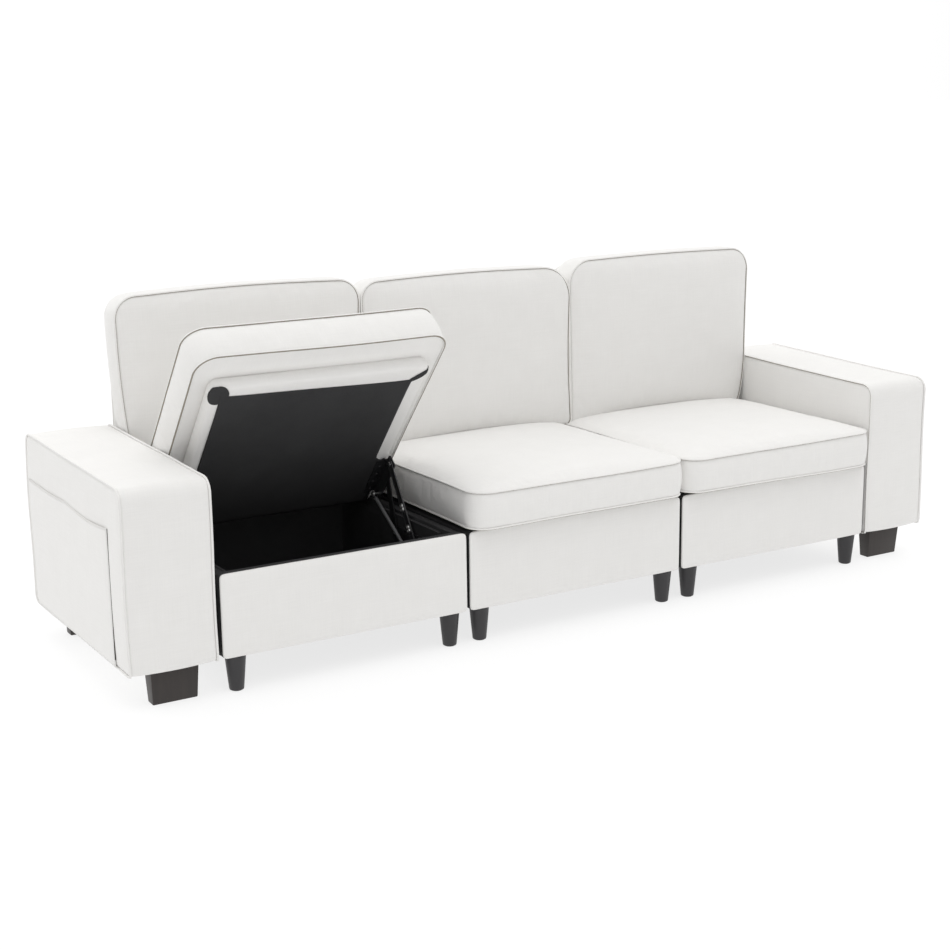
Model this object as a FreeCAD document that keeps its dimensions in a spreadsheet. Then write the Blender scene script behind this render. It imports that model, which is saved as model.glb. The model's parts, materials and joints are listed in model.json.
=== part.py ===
import FreeCAD, Part

import math
import os
import re

import Sketcher

from FreeCAD import Placement, Rotation, Vector

# A three-seat modular sofa: three armless seat modules with lift-up seats over storage boxes,
# and two separate arm units. X runs along the sofa, Y from front to back, Z up. The origin is on
# the floor, in the middle of the whole sofa. The first module's seat stands open, the others are shut.

doc = FreeCAD.newDocument("modular_sofa")
sheet = doc.addObject("Spreadsheet::Sheet", "sizes")
places = doc.addObject("Spreadsheet::Sheet", "places")

# Driving sizes in millimetres, and angles in degrees
SIZES = {
    # storage box of a seat module
    "module_width": 700,
    "module_gap": 14,
    "box_height": 218,
    "box_depth": 690,
    "front_thick": 30,
    "front_round": 10,
    "wall_thick": 30,
    "wall_drop": 4,
    "rear_thick": 18,
    "rear_drop": 12,
    "floor_thick": 12,
    "batten_thick": 10,
    "batten_height": 120,
    "batten_run": 330,
    "batten_gap": 6,
    "ledge_depth": 45,
    "ledge_height": 30,
    # round legs
    "leg_height": 94,
    "leg_top_radius": 27,
    "leg_foot_radius": 19,
    "leg_foot_round": 3,
    "leg_inset_side": 40,
    "leg_inset_end": 28,
    # lid board and its dust cover
    "deck_thick": 45,
    "deck_recess": 25,
    "deck_inset_side": 48,
    "deck_inset_front": 51,
    "deck_rear_gap": 36,
    "deck_round": 10,
    "dust_thick": 1.5,
    "dust_inset": 27,
    "dust_ear_radius": 25,
    # seat cushion
    "seat_overhang_front": 30,
    "seat_overhang_side": 4,
    "seat_rear_gap": 30,
    "seat_boxing": 89,
    "seat_crown": 31,
    "seat_corner": 55,
    "seat_corner_rear": 30,
    "seat_waist": 5,
    # back cushion and back frame
    "back_side_gap": 2,
    "back_top": 934,
    "back_seat_clear": 25,
    "back_boxing": 94,
    "back_crown": 24,
    "back_relief_start": 34,
    "back_corner_top": 85,
    "back_corner_low": 24,
    "back_waist": 4,
    "frame_thick": 52,
    "frame_inset": 3,
    "frame_round": 12,
    # arm units
    "arm_gap": 15,
    "arm_width": 230,
    "arm_rear_gap": 7,
    "arm_leg_height": 93,
    "arm_height": 477,
    "arm_front_round": 34,
    "arm_edge_round": 9,
    "arm_pad": 14,
    "arm_top_pad": 30,
    "arm_frame_wall": 15,
    "block_foot_width": 117,
    "block_foot_depth": 35,
    "block_top_width": 125,
    "block_top_depth": 50,
    "block_inset_side": 51,
    "block_inset_end": 33,
    # pockets on the outer sides of the arms
    "pocket_inset_front": 92,
    "pocket_inset_rear": 14,
    "pocket_height": 354,
    "pocket_depth": 5,
    "pocket_wall": 2.5,
    "pocket_hem": 6,
    "pocket_sag_front": 10,
    "pocket_sag_rear": 4,
    # lift linkage; its runs are those for a box of the drawn depth
    "drawn_depth": 690,
    "bar_foot_run": 191.5,
    "bar_foot_above_box_bottom": 148,
    "lid_pin_run": 203.5,
    "lid_pin_drop": 23.5,
    "second_pin_run": 156,
    "second_pin_drop": 15,
    "second_arm_run": 170,
    "spring_foot_run": 204,
    "spring_foot_above_box_bottom": 126,
    "spring_pin_run": 76,
    "spring_pin_drop": 27,
    "bar_width": 24,
    "bar_thick": 4,
    "web_thick": 3,
    "plate_thick": 3,
    "plate_margin": 16,
    "layer_gap": 0.3,
    "pin_radius": 4,
    "pin_play": 0.05,
    "pin_head_radius": 7,
    "pin_head_thick": 2.5,
    "flange_reach": 28,
    "spring_radius": 5.5,
    "spring_end_radius": 2,
    "spring_hook": 16,
    "spring_off": 8,
    # connectors between the units and brackets of the backs
    "keeper_width": 40,
    "keeper_height": 60,
    "keeper_thick": 2,
    "keeper_foot": 8,
    "keeper_hole_radius": 6,
    "stud_radius": 5,
    "stud_head_radius": 9,
    "stud_head_thick": 3,
    "connector_end_inset": 90,
    "connector_above_box_bottom": 110,
    "bracket_width": 60,
    "bracket_height": 90,
    "bracket_thick": 3,
    "bracket_inset": 110,
    "cut_over": 5,
}
ANGLES = {"bar_swing_angle": 52.5, "lid_swing_angle": 49.8, "back_relief_angle": 30.3}

# Heights and places that follow from the sizes
PLACES = {
    "pitch": "module_width + module_gap",
    "row_length": "3 * module_width + 2 * module_gap",
    "row_start": "-row_length / 2",
    "box_top": "leg_height + box_height",
    "wall_top": "box_top - wall_drop",
    "deck_under": "box_top - deck_recess",
    "deck_top": "deck_under + deck_thick",
    "deck_rear": "box_depth - rear_thick - deck_rear_gap",
    "deck_depth": "deck_rear - deck_inset_front",
    "deck_width": "module_width - 2 * deck_inset_side",
    "seat_seam": "deck_top + seat_boxing",
    "seat_rear": "box_depth - seat_rear_gap",
    "seat_depth": "seat_rear + seat_overhang_front",
    "back_bottom": "seat_seam + back_seat_clear",
    "back_width": "pitch - 2 * back_side_gap",
    "back_rear": "box_depth + frame_thick",
    "arm_depth": "back_rear - arm_rear_gap",
    "arm_top": "arm_leg_height + arm_height",
    "inner_depth": "box_depth - front_thick - rear_thick",
    "inner_width": "module_width - 2 * wall_thick",
    "bar_layer": "batten_thick + plate_thick + layer_gap + bar_thick + layer_gap + web_thick + layer_gap",
    "arm_layer": "batten_thick + plate_thick + layer_gap",
    "web_layer": "arm_layer + bar_thick + layer_gap",
    "spring_layer": "bar_layer + bar_thick + spring_off + spring_radius - pin_head_thick",
    "bar_foot_z": "leg_height + bar_foot_above_box_bottom",
    "spring_foot_z": "leg_height + spring_foot_above_box_bottom",
    "arm_reach": "row_length / 2 + arm_gap",
    "front_line": "(seat_overhang_front - back_rear) / 2",
    "ledge_top": "deck_under - dust_thick - layer_gap",
    "flange_top": "deck_under - dust_thick",
    "arm_cavity_height": "arm_height - arm_top_pad",
    "linkage_scale": "box_depth / drawn_depth",
    "bar_foot_from_front": "bar_foot_run * linkage_scale",
    "lid_pin_ahead": "lid_pin_run * linkage_scale",
    "second_pin_ahead": "second_pin_run * linkage_scale",
    "second_arm_length": "second_arm_run * linkage_scale",
    "spring_foot_from_front": "spring_foot_run * linkage_scale",
    "spring_pin_ahead": "spring_pin_run * linkage_scale",
    "batten_length": "batten_run * linkage_scale",
}

NAMES = re.compile(r"[a-z_]+[a-z0-9_]*")


def ref(expression):
    """Expression with every size and place named by the sheet that holds it."""
    def full(found):
        word = found.group(0)
        if word in PLACES:
            return "places." + word
        return "sizes." + word if word in SIZES else word
    return NAMES.sub(full, expression)


for row, (name, value) in enumerate({**SIZES, **ANGLES}.items(), start=1):
    sheet.set(f"A{row}", name)
    sheet.set(f"B{row}", str(value))
    sheet.setAlias(f"B{row}", name)
doc.recompute()
for row, (name, expression) in enumerate(PLACES.items(), start=1):
    places.set(f"A{row}", name)
    places.setAlias(f"B{row}", name)
    places.set(f"B{row}", "=" + ref(expression).replace("places.", ""))
doc.recompute()


def of(name):
    """Number that a sheet holds under a name."""
    return float(places.get(name)) if name in PLACES else float(sheet.get(name))


# Slack for comparing places, in millimetres
SLACK = 1e-6

# Plain shapes bound to the sheets

def block(label, at, size):
    """Box from its low corner and its three lengths, given as expressions."""
    box = doc.addObject("Part::Box", label)
    for field, text in zip(("Length", "Width", "Height"), size):
        box.setExpression(field, ref(text))
    for axis, text in zip("xyz", at):
        box.setExpression("Placement.Base." + axis, ref(text))
    return box


def pin(label, at, radius, length):
    """Cylinder along X from its left end, given as expressions."""
    cylinder = doc.addObject("Part::Cylinder", label)
    cylinder.Placement = Placement(Vector(), Rotation(Vector(0, 1, 0), 90))
    cylinder.setExpression("Radius", ref(radius))
    cylinder.setExpression("Height", ref(length))
    for axis, text in zip("xyz", at):
        cylinder.setExpression("Placement.Base." + axis, ref(text))
    return cylinder


def rounded(label, base, radius, chosen):
    """Base with a fillet on each edge for which chosen(edge) is true."""
    doc.recompute()
    fillet = doc.addObject("Part::Fillet", label)
    fillet.Base = base
    size = of(radius)
    fillet.Edges = [(n, size, size) for n, edge in enumerate(base.Shape.Edges, start=1) if chosen(edge)]
    return fillet


def is_upright(edge):
    """True for an edge that runs along Z."""
    box = edge.BoundBox
    return box.ZLength > box.XLength + box.YLength


def solid(label, shape, place=None):
    """Feature that holds a shape worked out from the sheets."""
    feature = doc.addObject("Part::Feature", label)
    feature.Shape = shape
    if place:
        feature.Placement = place
    return feature


def fused(label, parts):
    """One solid made of parts that touch."""
    join = doc.addObject("Part::MultiFuse", label)
    join.Shapes = parts
    return join


def cut(label, base, tool):
    """Base less tool."""
    result = doc.addObject("Part::Cut", label)
    result.Base = base
    result.Tool = tool
    return result


NODES = []


def node(label, parts, place=None):
    """Sub-part with its own label, made of one or more separate solids."""
    group = doc.addObject("Part::Compound", label)
    group.Label = label
    group.Links = parts
    if place:
        group.Placement = place
    NODES.append(group)
    return group


def loop(points):
    """Closed wire through (point, radius) corners, each rounded by an arc where its radius isn't zero."""
    count = len(points)
    ends = []
    for n, (corner, radius) in enumerate(points):
        before = (points[n - 1][0] - corner).normalize()
        after = (points[(n + 1) % count][0] - corner).normalize()
        half = before.getAngle(after) / 2
        reach = radius / math.tan(half)
        centre = corner + (before + after).normalize() * (radius / math.sin(half))
        middle = centre + (corner - centre).normalize() * radius if radius else corner
        ends.append((corner + before * reach, middle, corner + after * reach, radius))
    edges = []
    for n, (start, middle, end, radius) in enumerate(ends):
        if radius:
            edges.append(Part.Arc(start, middle, end).toShape())
        edges.append(Part.LineSegment(end, ends[(n + 1) % count][0]).toShape())
    return Part.Wire(edges)


def slab(wire, depth):
    """Solid between a flat closed wire and its copy moved by depth."""
    return Part.Face(wire).extrude(depth)


# Cushion forms

def pillow_ring(width, length, front, rear, waist, inset, turn):
    """Closed outline of a pillow at one height: four sides that bow inwards by waist between four
    rounded corners. turn maps the flat point (across, along) to space."""
    half = width / 2 - inset
    near, far = inset, length - inset
    front = max(front - inset / 2, front / 2)
    rear = max(rear - inset / 2, rear / 2)
    bend = 1 - math.sqrt(0.5)
    corners = [
        ((-half, near + front), (-half + front * bend, near + front * bend), (-half + front, near)),
        ((half - front, near), (half - front * bend, near + front * bend), (half, near + front)),
        ((half, far - rear), (half - rear * bend, far - rear * bend), (half - rear, far)),
        ((-half + rear, far), (-half + rear * bend, far - rear * bend), (-half, far - rear)),
    ]
    middles = [(0, near + waist), (half - waist, (near + far) / 2), (0, far - waist),
               (-half + waist, (near + far) / 2)]
    edges = []
    for n in range(4):
        start, middle, end = corners[n]
        edges.append(Part.Arc(turn(*start), turn(*middle), turn(*end)).toShape())
        follow = corners[(n + 1) % 4][0]
        edges.append(Part.Arc(turn(*end), turn(*middles[n]), turn(*follow)).toShape())
    return Part.Wire(edges)


# The crown is a quarter of an ellipse from the seam to its flat middle: how far in the flat begins, as
# a share of the cushion's shorter side, and how many outlines the crown has
CROWN_SHARE = 0.33
CROWN_RINGS = 7
# How far the sides of the crown's outlines turn from bowing in to bowing out, as a share of the waist
BOW_SHARE = 3
# Insets and heights of the boxing's outlines as shares of the waist and of the boxing
BOXING_SHARES = ((0.6, 0), (0, 0.22), (0, 0.78), (0.6, 1))


def pillow(width, length, front, rear, waist, boxing, crown, turn):
    """Boxed cushion: upright boxing that swells a little between its seams, and a crowned top.
    turn maps (across, along, up) to space."""
    def ring(inset, height, bow):
        return pillow_ring(width, length, front, rear, bow, inset, lambda a, b: turn(a, b, height))
    side = [ring(share * waist, high * boxing, waist) for share, high in BOXING_SHARES]
    seam = BOXING_SHARES[-1][0] * waist
    reach = CROWN_SHARE * min(width, length)
    top = []
    for n in range(CROWN_RINGS):
        angle = math.pi / 2 * n / (CROWN_RINGS - 1)
        rise = math.sin(angle)
        top.append(ring(seam + reach * (1 - math.cos(angle)), boxing + rise * crown, waist * (1 - BOW_SHARE * rise)))
    return Part.makeLoft(side, True).fuse(Part.makeLoft(top, True))


# Lift linkage of one seat, seen along X. Points are measured with the lid shut.

def across(y, z):
    """Point of the linkage's plane."""
    return Vector(0, of("front_line") + y, z)


def turned(point, angle):
    """Placement that turns by angle about the X line through point."""
    turn = Rotation(Vector(1, 0, 0), angle)
    return Placement(point - turn.multVec(point), turn)


def slope(start, end):
    """Angle of the line from start to end above the Y direction, in degrees."""
    return math.degrees(math.atan2(end.z - start.z, end.y - start.y))


def under_lid(ahead, drop):
    """Point given from the rear lower edge of the lid board."""
    return across(of("deck_rear") - of(ahead), of("deck_under") - of(drop))


BAR_FOOT = across(of("bar_foot_from_front"), of("bar_foot_z"))
BAR_TIP = under_lid("lid_pin_ahead", "lid_pin_drop")
ARM_TIP = under_lid("second_pin_ahead", "second_pin_drop")
SPRING_FOOT = across(of("spring_foot_from_front"), of("spring_foot_z"))
SPRING_TIP = under_lid("spring_pin_ahead", "spring_pin_drop")

BAR_OPEN = turned(BAR_FOOT, of("bar_swing_angle"))
LID_SHIFT = Placement(BAR_OPEN.multVec(BAR_TIP) - BAR_TIP, Rotation())
LID_OPEN = LID_SHIFT.multiply(turned(BAR_TIP, -of("lid_swing_angle")))


def equal_foot(tip, length):
    """Point below that is length away from tip both with the lid shut and with it open."""
    moved = LID_OPEN.multVec(tip)
    half = (moved - tip) * 0.5
    side = Vector(0, -half.z, half.y).normalize()
    side = -side if side.z > 0 else side
    return tip + half + side * math.sqrt(length ** 2 - half.Length ** 2)


ARM_FOOT = equal_foot(ARM_TIP, of("second_arm_length"))
ARM_SWING = slope(ARM_FOOT, LID_OPEN.multVec(ARM_TIP)) - slope(ARM_FOOT, ARM_TIP)
ARM_OPEN = turned(ARM_FOOT, ARM_SWING)
SPRING_SWING = slope(SPRING_FOOT, LID_OPEN.multVec(SPRING_TIP)) - slope(SPRING_FOOT, SPRING_TIP)


# Seat modules

SEATS = ("left", "middle", "right")
OPEN_SEATS = ("left",)


def start_of(index):
    """Expression for a module's left side."""
    return f"row_start + {index} * pitch"


def middle_of(index):
    """X of a module's middle, as a number."""
    return of("row_start") + index * of("pitch") + of("module_width") / 2


def make_box(seat, x):
    """Storage box: front panel, side walls, rear wall, floor, and the battens and ledge inside."""
    panel = block(f"{seat}_panel_board", (x, "front_line", "leg_height"),
                  ("module_width", "front_thick", "box_height"))
    node(f"{seat}_front_panel", [rounded(f"{seat}_panel_rounded", panel, "front_round",
                                         lambda e: is_upright(e) and e.BoundBox.YMin < of("front_line") + SLACK)])
    inner = "front_line + front_thick"
    wall = ("wall_thick", "inner_depth", "box_height - wall_drop")
    node(f"{seat}_side_walls", [
        block(f"{seat}_wall_a", (x, inner, "leg_height"), wall),
        block(f"{seat}_wall_b", (f"{x} + module_width - wall_thick", inner, "leg_height"), wall),
    ])
    node(f"{seat}_rear_wall", [
        block(f"{seat}_rear_board", (x, "front_line + box_depth - rear_thick", "leg_height"),
              ("module_width", "rear_thick", "box_height - rear_drop"))])
    node(f"{seat}_floor_board", [
        block(f"{seat}_floor", (f"{x} + wall_thick", inner, "leg_height"),
              ("inner_width", "inner_depth", "floor_thick"))])
    behind = f"{inner} + ledge_depth + batten_gap"
    low = "bar_foot_z - batten_height / 2"
    batten = ("batten_thick", "batten_length", "batten_height")
    node(f"{seat}_inner_battens", [
        block(f"{seat}_ledge", (f"{x} + wall_thick", inner, "ledge_top - ledge_height"),
              ("inner_width", "ledge_depth", "ledge_height")),
        block(f"{seat}_batten_a", (f"{x} + wall_thick", behind, low), batten),
        block(f"{seat}_batten_b", (f"{x} + module_width - wall_thick - batten_thick", behind, low), batten),
    ])


def make_legs(seat, x):
    """Four tapered round legs under a module."""
    legs = []
    for n, (side, end) in enumerate(((0, 0), (1, 0), (0, 1), (1, 1))):
        cone = doc.addObject("Part::Cone", f"{seat}_leg_{n}")
        cone.setExpression("Radius1", ref("leg_foot_radius"))
        cone.setExpression("Radius2", ref("leg_top_radius"))
        cone.setExpression("Height", ref("leg_height"))
        across_row = f"{x} + leg_inset_side + {side} * (module_width - 2 * leg_inset_side)"
        along = f"front_line + leg_inset_end + {end} * (box_depth - 2 * leg_inset_end)"
        cone.setExpression("Placement.Base.x", ref(across_row))
        cone.setExpression("Placement.Base.y", ref(along))
        legs.append(rounded(f"{seat}_leg_rounded_{n}", cone, "leg_foot_round",
                            lambda e: e.BoundBox.ZMax < SLACK and e.BoundBox.XLength > 0))
    node(f"{seat}_legs", legs)


def make_lid(seat, x, index, lid_place):
    """Lid board, its dust cover and the seat cushion on it."""
    board = block(f"{seat}_deck", (f"{x} + deck_inset_side", "front_line + deck_inset_front", "deck_under"),
                  ("deck_width", "deck_depth", "deck_thick"))
    node(f"{seat}_lid_board", [rounded(f"{seat}_deck_rounded", board, "deck_round", is_upright)], lid_place)
    side = f"{x} + deck_inset_side + dust_inset"
    front = "front_line + deck_inset_front + dust_inset"
    inner_width = "deck_width - 2 * dust_inset"
    parts = [block(f"{seat}_dust_sheet", (side, front, "deck_under - dust_thick"),
                   (inner_width, "deck_depth - 2 * dust_inset", "dust_thick"))]
    for n in (0, 1):
        ear = doc.addObject("Part::Cylinder", f"{seat}_dust_ear_{n}")
        ear.setExpression("Radius", ref("dust_ear_radius"))
        ear.setExpression("Height", ref("dust_thick"))
        ear.setExpression("Placement.Base.x", ref(f"{side} + {n} * ({inner_width})"))
        ear.setExpression("Placement.Base.y", ref(front))
        ear.setExpression("Placement.Base.z", ref("deck_under - dust_thick"))
        parts.append(ear)
    node(f"{seat}_dust_cover", [fused(f"{seat}_dust_shape", parts)], lid_place)
    middle = middle_of(index)
    near = of("front_line") - of("seat_overhang_front")
    base = of("deck_top")
    cushion = pillow(of("module_width") + 2 * of("seat_overhang_side"), of("seat_depth"), of("seat_corner"),
                     of("seat_corner_rear"), of("seat_waist"), of("seat_boxing"), of("seat_crown"),
                     lambda a, b, up: Vector(middle + a, near + b, base + up))
    node(f"{seat}_seat_cushion", [solid(f"{seat}_cushion_form", cushion)], lid_place)


def layered(x, side, first, thick):
    """X expression of a layer that starts first from the box wall's inner face, on either side."""
    if side == 0:
        return f"{x} + wall_thick + {first}"
    return f"{x} + module_width - wall_thick - ({first}) - ({thick})"


def oblong_bar(label, length, side_x, foot, angle):
    """Flat bar with round ends and a pin hole in each, drawn level and then laid from foot at angle."""
    body = doc.addObject("PartDesign::Body", label)
    sketch = body.newObject("Sketcher::SketchObject", label + "_outline")
    plane = [f for f in body.Origin.OriginFeatures if f.Role == "YZ_Plane"][0]
    sketch.AttachmentSupport = [(plane, "")]
    sketch.MapMode = "FlatFace"
    half = of("bar_width") / 2
    hole = of("pin_radius") + of("pin_play")
    up = Vector(0, 0, 1)
    far = Vector(length, 0, 0)
    quarter = math.pi / 2
    sketch.addGeometry(Part.ArcOfCircle(Part.Circle(Vector(), up, half), quarter, 3 * quarter))
    sketch.addGeometry(Part.LineSegment(Vector(0, -half, 0), Vector(length, -half, 0)))
    sketch.addGeometry(Part.ArcOfCircle(Part.Circle(far, up, half), -quarter, quarter))
    sketch.addGeometry(Part.LineSegment(Vector(length, half, 0), Vector(0, half, 0)))
    sketch.addGeometry(Part.Circle(Vector(), up, hole))
    sketch.addGeometry(Part.Circle(far, up, hole))
    ties = [("Tangent", 0, 2, 1, 1), ("Tangent", 1, 2, 2, 1), ("Tangent", 2, 2, 3, 1), ("Tangent", 3, 2, 0, 1),
            ("Coincident", 0, 3, -1, 1), ("PointOnObject", 2, 3, -1), ("Coincident", 4, 3, 0, 3),
            ("Coincident", 5, 3, 2, 3), ("Equal", 4, 5)]
    for tie in ties:
        sketch.addConstraint(Sketcher.Constraint(*tie))
    sketch.addConstraint(Sketcher.Constraint("Distance", 0, 3, 2, 3, length))
    width = sketch.addConstraint(Sketcher.Constraint("Radius", 0, half))
    bore = sketch.addConstraint(Sketcher.Constraint("Radius", 4, hole))
    sketch.setExpression(f"Constraints[{width}]", ref("bar_width / 2"))
    sketch.setExpression(f"Constraints[{bore}]", ref("pin_radius + pin_play"))
    pad = body.newObject("PartDesign::Pad", label + "_pad")
    pad.Profile = sketch
    pad.setExpression("Length", ref("bar_thick"))
    body.Tip = pad
    body.Placement = Placement(foot, Rotation(Vector(1, 0, 0), angle))
    body.setExpression("Placement.Base.x", ref(side_x))
    return body


def make_linkage(seat, x, open_now):
    """Both sides of the lift: hinge plates, bars, second arms, lid brackets and pull springs."""
    plates, bars, arms, brackets, springs = [], [], [], [], []
    for side in (0, 1):
        tag = f"{seat}_{'ab'[side]}"
        plates += make_plate(tag, x, side)
        bars.append(oblong_bar(f"{tag}_bar", BAR_FOOT.distanceToPoint(BAR_TIP),
                               layered(x, side, "bar_layer", "bar_thick"), BAR_FOOT, slope(BAR_FOOT, BAR_TIP)))
        arm = oblong_bar(f"{tag}_arm", of("second_arm_length"), layered(x, side, "arm_layer", "bar_thick"),
                         ARM_FOOT, slope(ARM_FOOT, ARM_TIP))
        arms += [arm, pin(f"{tag}_arm_rivet", (layered(x, side, "arm_layer", "bar_thick"),
                                               "front_line + deck_rear - second_pin_ahead",
                                               "deck_under - second_pin_drop"), "pin_radius", "bar_thick")]
        brackets.append(make_bracket(tag, x, side))
        springs.append(make_spring(tag, x, side, open_now))
    node(f"{seat}_hinge_plates", plates)
    node(f"{seat}_lift_bars", bars, BAR_OPEN if open_now else None)
    node(f"{seat}_second_arms", arms, ARM_OPEN if open_now else None)
    node(f"{seat}_lid_brackets", brackets, LID_OPEN if open_now else None)
    node(f"{seat}_lift_springs", springs)


def stud(tag, x, side, y, z, first, last):
    """Pin from layer first to layer last, measured from the wall, with its head beyond last."""
    shank = f"{last} + layer_gap - ({first})"
    head = f"{last} + layer_gap"
    return [
        pin(f"{tag}_shank", (layered(x, side, first, shank), y, z), "pin_radius", shank),
        pin(f"{tag}_head", (layered(x, side, head, "pin_head_thick"), y, z), "pin_head_radius", "pin_head_thick"),
    ]


def make_plate(tag, x, side):
    """Steel plate on the batten with the studs of the bar, the second arm and the spring."""
    face = "batten_thick + plate_thick"
    bar_y, bar_z = "front_line + bar_foot_from_front", "bar_foot_z"
    arm_y, arm_z = f"{ARM_FOOT.y}", f"{ARM_FOOT.z}"
    spring_y, spring_z = "front_line + spring_foot_from_front", "spring_foot_z"
    plate = block(f"{tag}_plate", (layered(x, side, "batten_thick", "plate_thick"),
                                   f"{bar_y} - plate_margin", f"{spring_z} - plate_margin"),
                  ("plate_thick", f"{ARM_FOOT.y} - ({bar_y}) + 2 * plate_margin",
                   f"{ARM_FOOT.z} - ({spring_z}) + 2 * plate_margin"))
    boss_end = "bar_layer - layer_gap"
    boss = pin(f"{tag}_boss", (layered(x, side, face, f"{boss_end} - ({face})"), bar_y, bar_z),
               "pin_head_radius", f"{boss_end} - ({face})")
    parts = [plate, boss]
    parts += stud(f"{tag}_bar_stud", x, side, bar_y, bar_z, boss_end, "bar_layer + bar_thick")
    parts += stud(f"{tag}_arm_stud", x, side, arm_y, arm_z, face, "arm_layer + bar_thick")
    parts += stud(f"{tag}_spring_stud", x, side, spring_y, spring_z, face, "spring_layer + spring_end_radius")
    return [fused(f"{tag}_plate_and_studs", parts)]


def make_bracket(tag, x, side):
    """Angle bracket under the lid board: a web beside the bar and a flange under the board."""
    rear = "front_line + deck_rear"
    length = "lid_pin_ahead - spring_pin_ahead + 2 * plate_margin"
    start = f"{rear} - lid_pin_ahead - plate_margin"
    drop = "spring_pin_drop - dust_thick + plate_margin"
    web = block(f"{tag}_web", (layered(x, side, "web_layer", "web_thick"), start, f"flange_top - ({drop})"),
                ("web_thick", length, drop))
    reach = "deck_inset_side - wall_thick + flange_reach - web_layer"
    flange = block(f"{tag}_flange", (layered(x, side, "web_layer", reach), start, "flange_top - web_thick"),
                   (reach, length, "web_thick"))
    face = "web_layer + web_thick"
    parts = [web, flange]
    parts += stud(f"{tag}_lid_pin", x, side, f"{rear} - lid_pin_ahead", "deck_under - lid_pin_drop",
                  face, "bar_layer + bar_thick")
    parts += stud(f"{tag}_spring_pin", x, side, f"{rear} - spring_pin_ahead", "deck_under - spring_pin_drop",
                  face, "spring_layer + spring_end_radius")
    return fused(f"{tag}_bracket", parts)


def make_spring(tag, x, side, open_now):
    """Pull spring in its smooth sleeve, with a wire eye round the pin at each end."""
    tip = LID_OPEN.multVec(SPRING_TIP) if open_now else SPRING_TIP
    length = SPRING_FOOT.distanceToPoint(tip)
    hook, wire = of("spring_hook"), of("spring_end_radius")
    bend = of("pin_radius") + of("pin_play") + wire
    line = Vector(0, 1, 0)
    sleeve = Part.makeCylinder(of("spring_radius"), length - 2 * hook, line * hook, line)
    parts = [sleeve]
    for end, sense in ((0, 1), (length, -1)):
        eye = Part.makeTorus(bend, wire, line * end, Vector(1, 0, 0))
        neck = Part.makeCylinder(wire, hook - bend, line * (end + sense * bend), line * sense)
        parts += [eye, neck]
    shape = parts[0].multiFuse(parts[1:])
    base = middle_of(SEATS.index(seat_of(tag)))
    reach = of("inner_width") / 2 - of("spring_layer")
    offset = Vector(base + (reach if side else -reach), 0, 0)
    place = Placement(SPRING_FOOT + offset, Rotation(Vector(1, 0, 0), slope(SPRING_FOOT, tip)))
    return solid(f"{tag}_spring", shape, place)


def seat_of(tag):
    """Seat's name in a tag such as left_a."""
    return tag.split("_")[0]


def seat_swing(middle, front, bottom):
    """Wedge under a back cushion that the rear edge of the lifting seat passes through."""
    start, reach = front - of("back_relief_start"), of("back_boxing") + of("back_crown")
    side = middle - of("back_width") / 2 - of("cut_over")
    low, rise = bottom - of("back_crown"), reach * math.tan(math.radians(of("back_relief_angle")))
    points = [(start, low), (start, bottom), (start - reach, bottom + rise), (start - reach, low)]
    outline = loop([(Vector(side, y, z), 0) for y, z in points])
    return slab(outline, Vector(of("back_width") + 2 * of("cut_over"), 0, 0))


def make_back(seat, index):
    """Upholstered back frame behind the box and the boxed back cushion in front of it."""
    middle = middle_of(index)
    line = of("front_line")
    half = of("back_width") / 2 - of("frame_inset")
    low, high = of("leg_height"), of("back_top") - of("frame_inset")
    front = line + of("box_depth")
    corner = of("back_corner_top") - of("frame_inset")
    outline = loop([(Vector(middle - half, front, low), 0), (Vector(middle + half, front, low), 0),
                    (Vector(middle + half, front, high), corner), (Vector(middle - half, front, high), corner)])
    frame = slab(outline, Vector(0, of("frame_thick"), 0))
    rear = [e for e in frame.Edges if e.BoundBox.YMin > front + of("frame_thick") - SLACK]
    node(f"{seat}_back_frame", [solid(f"{seat}_frame_form", frame.makeFillet(of("frame_round"), rear))])
    bottom = of("back_bottom")
    cushion = pillow(of("back_width"), of("back_top") - bottom, of("back_corner_low"), of("back_corner_top"),
                     of("back_waist"), of("back_boxing"), of("back_crown"),
                     lambda a, b, up: Vector(middle + a, front - up, bottom + b))
    cushion = cushion.cut(seat_swing(middle, front, bottom))
    node(f"{seat}_back_cushion", [solid(f"{seat}_back_form", cushion)])


for index, seat in enumerate(SEATS):
    open_now = seat in OPEN_SEATS
    make_box(seat, start_of(index))
    make_legs(seat, start_of(index))
    make_lid(seat, start_of(index), index, LID_OPEN if open_now else None)
    make_linkage(seat, start_of(index), open_now)
    make_back(seat, index)


# Arm units

def mirrored(sign, x):
    """X on the left (sign -1) or right (sign 1) of the sofa's middle."""
    return sign * x


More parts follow.
